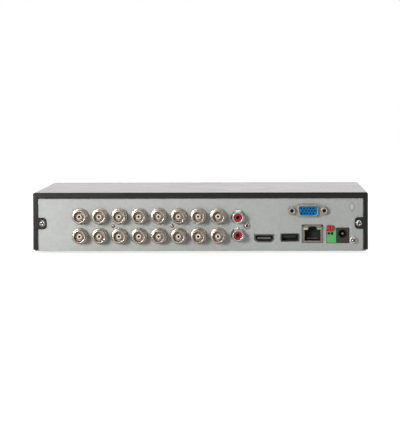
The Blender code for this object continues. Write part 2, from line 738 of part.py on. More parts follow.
def light_places():
    first = LIGHTS_X - (LIGHT_COUNT - 1) * LIGHT_PITCH / 2
    return [first + i * LIGHT_PITCH for i in range(LIGHT_COUNT)]


def make_light_pipe():
    """Three clear windows on one moulded bar, which sits between the front wall and the bezel."""
    z, x = FRONT_PORT_ABOVE_FEET, light_places()
    back = BEZEL_FACE - BEZEL_WALL - GAP
    bar = box(
        "light_pipe",
        (x[0] - LIGHT_SIZE[0], back - BEZEL_WALL, z - LIGHT_SIZE[1]),
        (x[-1] + LIGHT_SIZE[0], back, z + LIGHT_SIZE[1]),
        "light_pipe",
    )
    windows = [
        box(
            f"window_{i}",
            (here - LIGHT_SIZE[0] / 2, back - BEZEL_WALL / 2, z - LIGHT_SIZE[1] / 2),
            (here + LIGHT_SIZE[0] / 2, BEZEL_FACE - GAP, z + LIGHT_SIZE[1] / 2),
        )
        for i, here in enumerate(x)
    ]
    boolean_group(bar, windows, "UNION")


def make_feet():
    x = HALF_WIDTH - FOOT_FROM_SIDE
    chamfer = FOOT_HEIGHT / 4
    top = FOOT_HEIGHT - GAP
    profile = [(0, top), (FOOT_RADIUS, top), (FOOT_RADIUS, chamfer), (FOOT_RADIUS - chamfer, 0), (0, 0)]
    for end, y in (("rear", COVER_REAR + FOOT_FROM_END), ("front", BEZEL_FACE - FOOT_FROM_END)):
        for side, sign in (("left", -1), ("right", 1)):
            place = Matrix.Translation((sign * x, y, 0))
            turned(f"rubber_foot_{end}_{side}", profile, "rubber", place, facets=20)


def make_video_jacks():
    """Bayonet jacks: barrel with two lugs, a round base on the panel, and the core inside."""
    floor = JACK_FLOOR
    core_top = JACK_REACH - GAP
    chamfer = (JACK_BASE_RADIUS - JACK_BARREL_RADIUS) / 3
    profile = [
        (0, floor),
        (JACK_CONTACT_RADIUS, floor),
        (JACK_CONTACT_RADIUS, core_top),
        (JACK_CORE_RADIUS, core_top),
        (JACK_CORE_RADIUS, floor),
        (JACK_MOUTH_RADIUS, floor),
        (JACK_MOUTH_RADIUS, JACK_REACH),
        (JACK_BARREL_RADIUS, JACK_REACH),
        (JACK_BARREL_RADIUS, JACK_BASE_HEIGHT),
        (JACK_BASE_RADIUS - chamfer, JACK_BASE_HEIGHT),
        (JACK_BASE_RADIUS, JACK_BASE_HEIGHT - chamfer),
        (JACK_BASE_RADIUS, GAP),
        (JACK_SHANK_RADIUS, GAP),
        (JACK_SHANK_RADIUS, -SHEET),
        (0, -SHEET),
    ]
    first = turned("video_jack_01", profile, "nickel")
    height = JACK_REACH - LUG_BELOW_MOUTH
    lugs = []
    for side in (-1, 1):
        middle = side * JACK_BARREL_RADIUS
        lugs.append(
            box(
                f"lug_{side}",
                (middle - LUG_SIZE[0] / 2, -LUG_SIZE[1] / 2, height - LUG_SIZE[2] / 2),
                (middle + LUG_SIZE[0] / 2, LUG_SIZE[1] / 2, height + LUG_SIZE[2] / 2),
            )
        )
    boolean_group(first, lugs, "UNION")
    bpy.context.view_layer.update()
    first = settle(first)
    for number, x, z in jack_places():
        place = Matrix.Translation((x, PANEL_OUTSIDE, z)) @ FACE_REAR
        if number == 1:
            first.matrix_world = place
        else:
            add(f"video_jack_{number:02d}", first.data, "nickel", place)


def make_audio_jacks():
    """Plain round jacks with a red liner, one for sound in and one for sound out."""
    floor = -SHEET
    liner_top = AUDIO_REACH - AUDIO_LINER_RECESS
    shell = [
        (AUDIO_BORE_RADIUS, floor),
        (AUDIO_BORE_RADIUS, AUDIO_REACH),
        (AUDIO_BARREL_RADIUS, AUDIO_REACH),
        (AUDIO_BARREL_RADIUS, AUDIO_BASE_HEIGHT),
        (AUDIO_BASE_RADIUS, AUDIO_BASE_HEIGHT),
        (AUDIO_BASE_RADIUS, GAP),
        (AUDIO_SHANK_RADIUS, GAP),
        (AUDIO_SHANK_RADIUS, floor),
        (AUDIO_BORE_RADIUS, floor),
    ]
    outer = AUDIO_BORE_RADIUS - GAP
    liner = [
        (0, AUDIO_REACH / 4),
        (AUDIO_HOLE_RADIUS, AUDIO_REACH / 4),
        (AUDIO_HOLE_RADIUS, liner_top),
        (outer, liner_top),
        (outer, floor),
        (0, floor),
    ]
    for name, x, z in audio_places():
        place = Matrix.Translation((x, PANEL_OUTSIDE, z)) @ FACE_REAR
        turned(f"audio_jack_{name}", shell, "tinned_steel", place)
        turned(f"audio_liner_{name}", liner, "red_plastic", place)


def make_jack_block():
    """The moulding behind the panel that carries the jacks, with blind holes for its screws."""
    last = AUDIO_X + AUDIO_SCREW_OFFSET
    housing = box(
        "jack_block",
        (JACK_LEFT - JACK_BASE_RADIUS, PANEL_INSIDE + GAP, PORT_FLOOR),
        (
            DIGITAL_X - DIGITAL_SIZE[0] / 2 - JACK_BLOCK_GAP,
            PANEL_INSIDE + GAP + JACK_BLOCK_DEPTH,
            JACK_MIDDLE + JACK_ROW_PITCH / 2 + JACK_BASE_RADIUS,
        ),
        "black_plastic",
    )
    holes = [("audio", last, AUDIO_SCREW[2])]
    holes += [(name, x, BLOCK_SCREW[2]) for name, x in block_screw_places()]
    cutters = [
        cylinder(
            "cut_block_" + name,
            radius + GAP,
            (x, PANEL_INSIDE + SCREW_HOLE_DEPTH, JACK_MIDDLE),
            SCREW_HOLE_DEPTH + SHEET,
            FACE_REAR,
            facets=8,
        )
        for name, x, radius in holes
    ]
    boolean_group(housing, cutters, "DIFFERENCE")


def screw(name, size, x, face, z, washer=0.0):
    """A pan-head screw whose head rests on a face that looks to the rear."""
    head, height, shank = size
    foot = GAP + washer
    profile = [
        (0, foot + height),
        (head * SCREW_DOME[0], foot + height),
        (head, foot + height * SCREW_DOME[1]),
        (head, foot),
        (shank, foot),
        (shank, foot - SHANK_LENGTH),
        (0, foot - SHANK_LENGTH),
    ]
    turned(name, profile, "screw_steel", Matrix.Translation((x, face, z)) @ FACE_REAR)


def make_screws():
    for name, side in (("left", -1), ("right", 1)):
        x = side * (HALF_WIDTH - COVER_SCREW_FROM_SIDE)
        screw(f"cover_screw_{name}", COVER_SCREW, x, COVER_REAR, TAB_ABOVE_FEET)
    for name, x in block_screw_places():
        screw(f"block_screw_{name}", BLOCK_SCREW, x, PANEL_OUTSIDE, JACK_MIDDLE)
    x = AUDIO_X + AUDIO_SCREW_OFFSET
    screw("audio_screw", AUDIO_SCREW, x, PANEL_OUTSIDE, JACK_MIDDLE)
    radius, thickness = GROUND_WASHER
    bore = GROUND_SCREW[2] + GAP
    washer = [
        (bore, GAP),
        (bore, GAP + thickness),
        (radius, GAP + thickness),
        (radius, GAP),
        (bore, GAP),
    ]
    place = Matrix.Translation((GROUND_X, PANEL_OUTSIDE, GROUND_ABOVE_FEET)) @ FACE_REAR
    turned("ground_washer", washer, "screw_steel", place)
    above = thickness + GAP
    screw("ground_screw", GROUND_SCREW, GROUND_X, PANEL_OUTSIDE, GROUND_ABOVE_FEET, above)


def make_digital():
    """Folded metal shell, and the black moulding inside it with its contact tongue."""
    rear = PANEL_OUTSIDE - PORT_PROUD
    start = (DIGITAL_X, rear + DIGITAL_DEPTH, DIGITAL_FLOOR)
    shell = prism("digital_shell", digital_outline(0), start, DIGITAL_DEPTH, FACE_REAR, "tinned_steel")
    start = (DIGITAL_X, rear + DIGITAL_DEPTH + GAP, DIGITAL_FLOOR)
    through = DIGITAL_DEPTH + 2 * GAP
    inner = prism("cut_digital_bore", digital_outline(-DIGITAL_SKIN), start, through, FACE_REAR)
    boolean(shell, inner, "DIFFERENCE")

    start = (DIGITAL_X, rear + DIGITAL_DEPTH, DIGITAL_FLOOR)
    outline = digital_outline(-DIGITAL_SKIN - GAP)
    body = prism("digital_insert", outline, start, PORT_BACK, FACE_REAR, "black_plastic")
    middle = DIGITAL_FLOOR + DIGITAL_SIZE[1] * DIGITAL_TONGUE_RISE
    tongue_half = DIGITAL_FOOT_WIDTH / 2
    tongue_end = rear + DIGITAL_DEPTH - PORT_BACK / 2
    tongue = box(
        "digital_tongue",
        (DIGITAL_X - tongue_half, rear + 2 * DIGITAL_SKIN, middle - DIGITAL_TONGUE / 2),
        (DIGITAL_X + tongue_half, tongue_end, middle + DIGITAL_TONGUE / 2),
    )
    boolean(body, tongue, "UNION")


def usb_socket(name, x, mouth, floor, inward, one_piece=False):
    """A USB socket whose mouth looks away from the inward direction, +1 for +Y and -1 for -Y."""
    half, high = USB_SIZE[0] / 2, floor + USB_SIZE[1]

    def span(first, last):
        ends = (mouth + inward * first, mouth + inward * last)
        return min(ends), max(ends)

    y = span(0, USB_DEPTH)
    shell_name = name if one_piece else name + "_shell"
    shell = box(shell_name, (x - half, y[0], floor), (x + half, y[1], high), "tinned_steel")
    bore = span(-GAP, USB_DEPTH + GAP)
    inner = box(
        f"cut_{name}_bore",
        (x - half + USB_SKIN, bore[0], floor + USB_SKIN),
        (x + half - USB_SKIN, bore[1], high - USB_SKIN),
    )
    boolean(shell, inner, "DIFFERENCE")

    inside = USB_SKIN / 2 if one_piece else USB_SKIN + GAP
    y = span(USB_DEPTH - PORT_BACK, USB_DEPTH - GAP)
    body = box(
        name + "_insert",
        (x - half + inside, y[0], floor + inside),
        (x + half - inside, y[1], high - inside),
        None if one_piece else "black_plastic",
    )
    tongue_top = high - USB_SKIN - GAP - USB_TONGUE / 4
    y = span(3 * USB_SKIN, USB_DEPTH - PORT_BACK / 2)
    tongue = box(
        name + "_tongue",
        (x - half + 4 * USB_SKIN, y[0], tongue_top - USB_TONGUE),
        (x + half - 4 * USB_SKIN, y[1], tongue_top),
    )
    boolean(body, tongue, "UNION")
    if one_piece:
        boolean(shell, body, "UNION")


def make_lan():
    """Network socket: a thin metal jacket over a black body with the plug's cavity."""
    half = LAN_SIZE[0] / 2
    mouth = PANEL_OUTSIDE - LAN_PROUD
    low, high = PORT_FLOOR, PORT_FLOOR + LAN_SIZE[1]
    jacket = box(
        "lan_jacket",
        (LAN_X - half, mouth, low),
        (LAN_X + half, mouth + LAN_DEPTH, high),
        "tinned_steel",
    )
    inner = box(
        "cut_lan_jacket",
        (LAN_X - half + LAN_SKIN, mouth - GAP, low + LAN_SKIN),
        (LAN_X + half - LAN_SKIN, mouth + LAN_DEPTH - LAN_SKIN, high - LAN_SKIN),
    )
    boolean(jacket, inner, "DIFFERENCE")

    inside = LAN_SKIN + GAP
    body = box(
        "lan_body",
        (LAN_X - half + inside, mouth + GAP, low + inside),
        (LAN_X + half - inside, mouth + LAN_DEPTH - inside, high - inside),
        "black_plastic",
    )
    floor = BOARD_TOP + LAN_SOCKET_ABOVE_BOARD
    width, height, depth = LAN_SOCKET
    socket = box(
        "cut_lan_socket",
        (LAN_X - width / 2, mouth - GAP, floor),
        (LAN_X + width / 2, mouth + depth, floor + height),
    )
    latch = box(
        "cut_lan_latch",
        (LAN_X - LAN_LATCH[0] / 2, mouth - GAP, floor + height / 2),
        (LAN_X + LAN_LATCH[0] / 2, mouth + depth, floor + height + LAN_LATCH[1]),
    )
    boolean(body, [socket, latch], "DIFFERENCE")


def make_terminal():
    """Green two-way spring terminal, with a red release lever above each wire hole."""
    half = TERMINAL_SIZE[0] / 2
    back = TERMINAL_FACE + TERMINAL_DEPTH
    terminal = box(
        "terminal_block",
        (TERMINAL_X - half, TERMINAL_FACE, PORT_FLOOR),
        (TERMINAL_X + half, back, TERMINAL_TOP),
        "green_plastic",
    )
    levers = LEVER_PITCH + LEVER_WIDTH
    lever_back = TERMINAL_FACE - LEVER_PROUD + LEVER_LENGTH
    pocket = box(
        "cut_lever_pocket",
        (LEVERS_LEFT - GAP, TERMINAL_FACE - GAP, LEVER_FLOOR - GAP),
        (LEVERS_LEFT + levers + GAP, lever_back + LEVER_TRAVEL + GAP, TERMINAL_TOP + GAP),
    )
    cutters = [pocket]
    for i in range(2):
        x = LEVERS_LEFT + i * LEVER_PITCH
        start = (x + LEVER_WIDTH / 2, TERMINAL_FACE + WIRE_HOLE_DEPTH, BOARD_TOP + WIRE_HOLE_ABOVE_BOARD)
        depth = WIRE_HOLE_DEPTH + GAP
        cutters.append(cylinder(f"cut_wire_hole_{i}", WIRE_HOLE_RADIUS, start, depth, FACE_REAR, facets=8))
        box(
            f"terminal_lever_{i + 1}",
            (x, TERMINAL_FACE - LEVER_PROUD, LEVER_FLOOR),
            (x + LEVER_WIDTH, lever_back, LEVER_FLOOR + LEVER_HEIGHT),
            "red_plastic",
        )
    boolean(terminal, cutters, "DIFFERENCE")


def make_power_jack():
    """Black power socket with a round bore, and the pin that stands in it."""
    half = POWER_JACK_SIZE[0] / 2
    mouth = PANEL_OUTSIDE - POWER_JACK_PROUD
    body = box(
        "power_jack",
        (POWER_X - half, mouth, PORT_FLOOR),
        (POWER_X + half, mouth + POWER_JACK_DEPTH, PORT_FLOOR + POWER_JACK_SIZE[1]),
        "black_plastic",
    )

    def bore(name, radius, depth):
        start = (POWER_X, mouth + depth, POWER_BORE_Z)
        return cylinder(name, radius, start, depth + GAP, FACE_REAR, facets=16)

    wide = bore("cut_power_bore", POWER_BORE_RADIUS, POWER_BORE_DEPTH)
    deep = POWER_BORE_DEPTH + PIN_SOCKET_DEPTH
    narrow = bore("cut_pin_socket", POWER_PIN_RADIUS + GAP, deep)
    boolean(body, [wide, narrow], "DIFFERENCE")

    pin_end = deep - GAP
    start = (POWER_X, mouth + pin_end, POWER_BORE_Z)
    cylinder("power_pin", POWER_PIN_RADIUS, start, pin_end - POWER_JACK_PROUD, FACE_REAR, "nickel")


def vga_pin_places():
    """Three rows of five, the middle row set over by half a pitch."""
    for row in range(3):
        z = VGA_ABOVE_FEET + (1 - row) * PIN_ROW_PITCH
        shift = PIN_PITCH / 2 if row == 1 else 0
        for i in range(5):
            yield VGA_X + (i - 2) * PIN_PITCH + shift - PIN_PITCH / 4, z


def vga_plate_outline():
    """Centred outline of the mounting plate, with a narrower ear at each end."""
    half, high = VGA_PLATE[0] / 2, VGA_PLATE[1] / 2
    ear = half - VGA_EAR[0]
    slant = (high - VGA_EAR_ROOT / 2) / 2
    right = [(ear - slant, high), (ear, VGA_EAR_ROOT / 2), (half, VGA_EAR[1] / 2)]
    right += [(x, -z) for x, z in reversed(right)]
    return right + [(-x, -z) for x, z in right]


def make_vga():
    """Monitor socket: D-shaped shell on its mounting plate, blue insert, hexagonal jackscrews."""
    mouth = PANEL_OUTSIDE - VGA_PROUD
    thickness = VGA_PLATE[2]
    plate_back = PANEL_OUTSIDE - GAP
    plate_face = plate_back - thickness
    start = (VGA_X, plate_back, VGA_ABOVE_FEET)
    shell = prism("vga_shell", vga_plate_outline(), start, thickness, FACE_REAR, "tinned_steel")
    corner = VGA_HEIGHT / 4
    length = plate_face + thickness / 2 - mouth
    start = (VGA_X, mouth + length, VGA_ABOVE_FEET)
    tube = prism("vga_tube", vga_outline(0, corner), start, length, FACE_REAR)
    boolean(shell, tube, "UNION")
    start = (VGA_X, plate_back + GAP, VGA_ABOVE_FEET)
    through = plate_back - mouth + 2 * GAP
    bore = prism("cut_vga_bore", vga_outline(-VGA_SKIN, corner), start, through, FACE_REAR)
    cutters = [bore]
    for side in (-1, 1):
        hole = (VGA_X + side * VGA_SCREW_SPACING / 2, plate_back + GAP, VGA_ABOVE_FEET)
        radius = JACKSCREW_HOLE_RADIUS + GAP
        depth = thickness + 2 * GAP
        cutters.append(cylinder(f"cut_plate_{side}", radius, hole, depth, FACE_REAR, facets=8))
    boolean(shell, cutters, "DIFFERENCE")

    back = PANEL_INSIDE + VGA_BODY_DEPTH
    length = back - mouth - GAP
    start = (VGA_X, back, VGA_ABOVE_FEET)
    outline = vga_outline(-VGA_SKIN - GAP, corner)
    insert = prism("vga_insert", outline, start, length, FACE_REAR, "blue_plastic")
    holes = []
    for i, (x, z) in enumerate(vga_pin_places()):
        start = (x, mouth + GAP + PIN_HOLE_DEPTH, z)
        depth = PIN_HOLE_DEPTH + GAP
        holes.append(cylinder(f"cut_pin_{i}", PIN_HOLE_RADIUS, start, depth, FACE_REAR, facets=6))
    boolean_group(insert, holes, "DIFFERENCE")

    seat = plate_face - GAP
    tip = seat - JACKSCREW_LENGTH
    end = PANEL_INSIDE + VGA_BODY_DEPTH / 2
    for name, side in (("left", -1), ("right", 1)):
        x = VGA_X + side * VGA_SCREW_SPACING / 2
        radius = JACKSCREW_FLATS / math.sqrt(3)
        start = (x, seat, VGA_ABOVE_FEET)
        screw_name = f"vga_jackscrew_{name}"
        post = cylinder(screw_name, radius, start, JACKSCREW_LENGTH, FACE_REAR, "screw_steel", 6)
        start = (x, end, VGA_ABOVE_FEET)
        depth = end - seat + GAP
        shank = cylinder(f"shank_{name}", JACKSCREW_HOLE_RADIUS, start, depth, FACE_REAR, facets=8)
        start = (x, tip + JACKSCREW_LENGTH * JACKSCREW_DEPTH, VGA_ABOVE_FEET)
        depth = JACKSCREW_LENGTH
        hole = cylinder(f"cut_thread_{name}", JACKSCREW_HOLE_RADIUS, start, depth, FACE_REAR, facets=8)
        boolean(post, shank, "UNION")
        boolean(post, hole, "DIFFERENCE")

    front = back + GAP
    floor = PORT_FLOOR + LAN_SIZE[1] + GAP
    box(
        "vga_riser_board",
        (VGA_X - RISER_SIZE[0] / 2, front, floor),
        (VGA_X + RISER_SIZE[0] / 2, front + RISER_THICKNESS, min(floor + RISER_SIZE[1], TRAY_TOP - GAP)),
        "circuit_board",
    )


def make_main_board():
    """Circuit board with its soldered parts: processor, memory, relays and coin cell."""
    half = TRAY_HALF - SHEET - BOARD_SIDE_MARGIN
    rear = PANEL_INSIDE + BOARD_REAR_MARGIN
    board = box(
        "main_board",
        (-half, rear, BOARD_UNDERSIDE),
        (half, rear + BOARD_DEPTH, BOARD_TOP),
        "circuit_board",
    )
    sink_x, sink_y = sink_place()
    middle_y = rear + BOARD_DEPTH * PARTS_ROW
    chip = SINK_SIZE[0] * CHIP_SHARE
    parts = [
        box(
            "processor",
            (sink_x - chip, sink_y - chip, BOARD_TOP - BOARD_THICKNESS / 2),
            (sink_x + chip, sink_y + chip, BOARD_TOP + CHIP_HEIGHT),
        ),
    ]
    for name, (share, radius, height) in (("coin_cell", COIN_CELL), ("buzzer", BUZZER)):
        start = (half * share, middle_y, BOARD_TOP - BOARD_THICKNESS / 2)
        parts.append(cylinder(name, radius, start, height, Matrix.Identity(4)))
    for i in range(DECODER_COUNT):
        x = -half * DECODER_START + i * DECODER_PITCH
        reach = DECODER_SIZE / 2
        parts.append(
            box(
                f"decoder_{i}",
                (x - reach, middle_y - reach, BOARD_TOP - BOARD_THICKNESS / 2),
                (x + reach, middle_y + reach, BOARD_TOP + CHIP_HEIGHT),
            )
        )
    boolean_group(board, parts, "UNION")


def sink_place():
    rear = PANEL_INSIDE + BOARD_REAR_MARGIN
    return HALF_WIDTH * SINK_PLACE[0], rear + BOARD_DEPTH * SINK_PLACE[1]


def make_heat_sink():
    """Finned aluminium block on the processor, drawn as a comb and extruded."""
    width, depth, height = SINK_SIZE
    pitch = width / (2 * SINK_FINS - 1)
    outline = [(-width / 2, 0), (width / 2, 0)]
    for i in range(SINK_FINS):
        x = width / 2 - 2 * i * pitch
        outline += [(x, height), (x - pitch, height)]
        if i < SINK_FINS - 1:
            outline += [(x - pitch, SINK_BASE), (x - 2 * pitch, SINK_BASE)]
    x, y = sink_place()
    start = (x, y + depth / 2, BOARD_TOP + CHIP_HEIGHT + GAP)
    prism("heat_sink", outline, start, depth, FACE_REAR, "black_aluminium")


def make_hard_disk():
    """A sealed 3.5 inch drive: cast body with a shallow step round its lid."""
    width, depth, height = DISK_SIZE
    low = Vector((DISK_LEFT, DISK_FRONT - depth, DISK_FLOOR))
    high = low + Vector((width, depth, height))
    step = DISK_LID_STEP
    disk = box("hard_disk", low, (high.x, high.y, high.z - step), "cast_aluminium")
    inset = 4 * step
    lid = box(
        "disk_lid",
        (low.x + inset, low.y + inset, high.z - 2 * step),
        (high.x - 3 * inset, high.y - inset, high.z),
    )
    boolean(disk, lid, "UNION")


def make_fan():
    """Side fan: square frame with a struts-and-seat spider, and the bladed rotor."""
    half = FAN_SIZE / 2
    left, right = FAN_X - FAN_THICKNESS / 2, FAN_X + FAN_THICKNESS / 2
    frame = box(
        "fan_frame",
        (left, FAN_Y - half, FAN_Z - half),
        (right, FAN_Y + half, FAN_Z + half),
        "black_plastic",
    )
    start = (left - GAP, FAN_Y, FAN_Z)
    bore = cylinder("cut_fan_bore", FAN_BORE_RADIUS, start, FAN_THICKNESS + 2 * GAP, FACE_RIGHT, facets=24)
    boolean(frame, bore, "DIFFERENCE")
    seat = cylinder("fan_seat", FAN_SEAT_RADIUS, (left, FAN_Y, FAN_Z), FAN_STRUT, FACE_RIGHT)
    reach = FAN_BORE_RADIUS + FAN_STRUT / 2
    upright = box(
        "fan_strut_upright",
        (left + GAP, FAN_Y - FAN_STRUT / 2, FAN_Z - reach),
        (left + FAN_STRUT - GAP, FAN_Y + FAN_STRUT / 2, FAN_Z + reach),
    )
    across = box(
        "fan_strut_across",
        (left + GAP, FAN_Y - reach, FAN_Z - FAN_STRUT / 2),
        (left + FAN_STRUT - GAP, FAN_Y + reach, FAN_Z + FAN_STRUT / 2),
    )
    boolean(frame, [upright, across, seat], "UNION")

    hub_start = left + FAN_STRUT + 2 * GAP
    hub_length = right - GAP - hub_start
    rotor = cylinder(
        "fan_rotor", FAN_HUB_RADIUS, (hub_start, FAN_Y, FAN_Z), hub_length, FACE_RIGHT, "black_plastic", 21
    )
    tip = FAN_BORE_RADIUS - FAN_BLADE_CLEARANCE
    root = FAN_HUB_RADIUS * FAN_ROOT
    chord = hub_length * FAN_CHORD
    for i in range(FAN_BLADES):
        shape = block((tip - root, FAN_BLADE_THICKNESS, chord))
        bmesh.ops.translate(shape, vec=((tip + root) / 2, 0, 0), verts=shape.verts)
        tilt = Matrix.Rotation(FAN_BLADE_TILT, 4, "X")
        turn = Matrix.Rotation(2 * math.pi * i / FAN_BLADES, 4, "Z")
        middle = Matrix.Translation((hub_start + hub_length / 2, FAN_Y, FAN_Z))
        blade = add(f"blade_{i}", from_bmesh(f"blade_{i}", shape), None, middle @ FACE_RIGHT @ turn @ tilt)
        boolean(rotor, blade, "UNION")


def make_front_board():
    """Small upright board behind the front wall, with the front socket and the indicator lights."""
    width, height = FRONT_BOARD_SIZE
    middle = (FRONT_USB_X + LIGHTS_X) / 2
    back = WALL_INSIDE - USB_SIZE[1]
    box(
        "front_board",
        (middle - width / 2, back - FRONT_BOARD_THICKNESS, FRONT_PORT_ABOVE_FEET - height / 2),
        (middle + width / 2, back, FRONT_PORT_ABOVE_FEET + height / 2),
        "circuit_board",
    )


def make_disk_lead():
    """The disk's lead, from the drive's end round to its socket on the main board."""
    disk_end = DISK_LEFT + DISK_SIZE[0] + LEAD_RADIUS + GAP
    start = Vector((disk_end, DISK_FRONT - DISK_SIZE[1] / 2, DISK_FLOOR + LEAD_ABOVE_DISK_FLOOR))
    board_front = PANEL_INSIDE + BOARD_REAR_MARGIN + BOARD_DEPTH
    across, back = LEAD_SOCKET
    end = Vector((start.x + across, board_front - back, BOARD_TOP + LEAD_RADIUS + 2 * GAP))
    curve = bpy.data.curves.new("disk_lead", "CURVE")
    curve.dimensions = "3D"
    curve.bevel_depth = LEAD_RADIUS
    curve.bevel_resolution = 2
    curve.use_fill_caps = True
    curve.materials.append(material("red_lead"))
    run, rise = LEAD_SWING
    out = start + Vector((run, 0, rise))
    over = end + Vector((0, run, rise))
    steps = LEAD_STEPS
    spline = curve.splines.new("POLY")
    spline.points.add(steps)
    for i, point in enumerate(spline.points):
        t = i / steps
        weights = ((1 - t) ** 3, 3 * t * (1 - t) ** 2, 3 * t * t * (1 - t), t**3)
        place = sum((w * p for w, p in zip(weights, (start, out, over, end))), Vector())
        point.co = (*place, 1)
    add("disk_lead", curve, "red_lead")


def build():
    make_tray()
    make_cover()
    make_bezel()
    make_light_pipe()
    make_feet()
    make_video_jacks()
    make_audio_jacks()
    make_jack_block()
    make_screws()
    make_digital()
    usb_socket("rear_usb", USB_X, PANEL_OUTSIDE - PORT_PROUD, USB_FLOOR, 1)
    front_floor = FRONT_PORT_ABOVE_FEET - USB_SIZE[1] / 2
    usb_socket("front_usb", FRONT_USB_X, BEZEL_FACE - GAP, front_floor, -1, one_piece=True)
    make_lan()
    make_terminal()
    make_power_jack()
    make_vga()
    make_main_board()
    make_heat_sink()
    make_hard_disk()
    make_fan()
    make_front_board()
    make_disk_lead()


clear_scene()
RECORDER = make_collection("video_recorder")
HELPERS = make_collection("cutters")
build()
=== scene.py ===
import json
import math

import bmesh
import bpy
from mathutils import Matrix, Vector

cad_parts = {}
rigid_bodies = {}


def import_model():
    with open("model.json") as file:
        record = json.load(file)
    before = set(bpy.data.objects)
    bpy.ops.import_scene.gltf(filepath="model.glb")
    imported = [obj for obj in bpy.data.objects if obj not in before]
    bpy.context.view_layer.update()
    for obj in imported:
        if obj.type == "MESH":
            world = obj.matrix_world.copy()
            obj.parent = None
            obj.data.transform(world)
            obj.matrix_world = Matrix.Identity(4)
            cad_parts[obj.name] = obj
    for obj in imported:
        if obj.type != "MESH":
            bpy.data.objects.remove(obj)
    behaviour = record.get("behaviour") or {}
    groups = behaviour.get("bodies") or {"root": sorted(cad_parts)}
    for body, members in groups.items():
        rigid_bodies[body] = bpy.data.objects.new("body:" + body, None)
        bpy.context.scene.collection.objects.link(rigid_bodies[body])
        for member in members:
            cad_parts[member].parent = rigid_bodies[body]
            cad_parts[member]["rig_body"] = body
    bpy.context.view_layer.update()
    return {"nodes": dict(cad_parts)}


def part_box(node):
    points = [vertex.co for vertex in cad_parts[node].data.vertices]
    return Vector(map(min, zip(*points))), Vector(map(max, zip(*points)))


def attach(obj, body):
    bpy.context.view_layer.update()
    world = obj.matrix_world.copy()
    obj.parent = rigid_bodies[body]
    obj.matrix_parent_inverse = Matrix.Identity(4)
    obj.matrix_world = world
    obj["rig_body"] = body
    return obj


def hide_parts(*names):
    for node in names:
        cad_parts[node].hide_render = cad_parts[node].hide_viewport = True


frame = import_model()
nodes = frame["nodes"]
print("frame loaded:", len(nodes), "nodes")

# Lengths in a piece's dictionary, and in the calls that make its shape, are in mm.
# Places are in metres, as the frame gives them.
mm = 0.001
clearance = 0.3  # what the frame leaves between neighbours
gap = clearance * mm


# helpers for node trees

def addNode(tree, kind, values=None, **settings):
    node = tree.nodes.new(kind)
    for name, value in settings.items():
        setattr(node, name, value)
    for name, value in (values or {}).items():
        if isinstance(value, bpy.types.NodeSocket):
            tree.links.new(value, node.inputs[name])
        else:
            node.inputs[name].default_value = value
    return node


def addMath(tree, operation, *values, clamp=False):
    node = addNode(tree, "ShaderNodeMath", dict(enumerate(values)), operation=operation, use_clamp=clamp)
    return node.outputs[0]


def addVectorMath(tree, operation, *values, output=0):
    return addNode(tree, "ShaderNodeVectorMath", dict(enumerate(values)), operation=operation).outputs[output]


def addRange(tree, value, low, high, toLow=0.0, toHigh=1.0):
    values = {"Value": value, "From Min": low, "From Max": high, "To Min": toLow, "To Max": toHigh}
    return addNode(tree, "ShaderNodeMapRange", values, clamp=True).outputs["Result"]


def addNoise(tree, spot, scale, detail, distortion=0.0):
    values = {"Vector": spot, "Scale": scale, "Detail": detail, "Distortion": distortion}
    return addNode(tree, "ShaderNodeTexNoise", values).outputs[0]


def addShares(tree, first, share, second):
    # so much of the first number, and the rest from the second
    rest = addMath(tree, "MULTIPLY", second, 1.0 - share)
    return addMath(tree, "ADD", addMath(tree, "MULTIPLY", first, share), rest)


def addMix(tree, factor, first, second):
    first, second = (c if isinstance(c, bpy.types.NodeSocket) else (*c, 1.0) for c in (first, second))
    return addNode(tree, "ShaderNodeMix", {0: factor, 6: first, 7: second}, data_type="RGBA").outputs[2]


def newGroup(name, kind, inputs, outputs):
    tree = bpy.data.node_groups.new(name, kind)
    for side, sockets in (("INPUT", inputs), ("OUTPUT", outputs)):
        for label, socketType, value in sockets:
            socket = tree.interface.new_socket(label, in_out=side, socket_type="NodeSocket" + socketType)
            if value is not None:
                socket.default_value = value
    return tree, tree.nodes.new("NodeGroupInput").outputs, tree.nodes.new("NodeGroupOutput").inputs


def newEffect(name, **inputs):
    # a shader group with plain numbers as its inputs, and the spot that is being shaded
    numbers = [(label, "Float", value) for label, value in inputs.items()]
    tree, given, _ = newGroup(name, "ShaderNodeTree", numbers, [])
    return tree, given, tree.nodes.new("ShaderNodeTexCoord").outputs["Object"]


def endEffect(tree, **results):
    for label, result in results.items():
        tree.interface.new_socket(label, in_out="OUTPUT", socket_type="NodeSocketFloat")
        tree.links.new(result, tree.nodes["Group Output"].inputs[label])
    return tree


def place(tree, group, values):
    return addNode(tree, "ShaderNodeGroup", values, node_tree=group).outputs


# shader effects that the finishes share

def makeSpangle():
    # the crystals that zinc grows on steel
    tree, given, spot = newEffect("zincSpangle", Scale=220.0, Flow=0.4)
    push = addVectorMath(tree, "SCALE", addNoise(tree, spot, 90.0, 3.0).node.outputs["Color"])
    tree.links.new(addMath(tree, "MULTIPLY", given["Flow"], 0.012), push.node.inputs["Scale"])
    moved = addVectorMath(tree, "ADD", spot, push)
    tones = []
    for share in (1.0, 2.7):
        scale = addMath(tree, "MULTIPLY", given["Scale"], share)
        cells = addNode(tree, "ShaderNodeTexVoronoi", {"Vector": moved, "Scale": scale}).outputs["Color"]
        tones.append(addNode(tree, "ShaderNodeSeparateColor", {"Color": cells}).outputs[0])
    tone = addShares(tree, addShares(tree, tones[0], 0.55, tones[1]), 0.6, addNoise(tree, spot, 150.0, 4.0))
    return endEffect(tree, Tone=tone, Height=addShares(tree, tone, 0.6, addNoise(tree, spot, 1800.0, 2.0)))


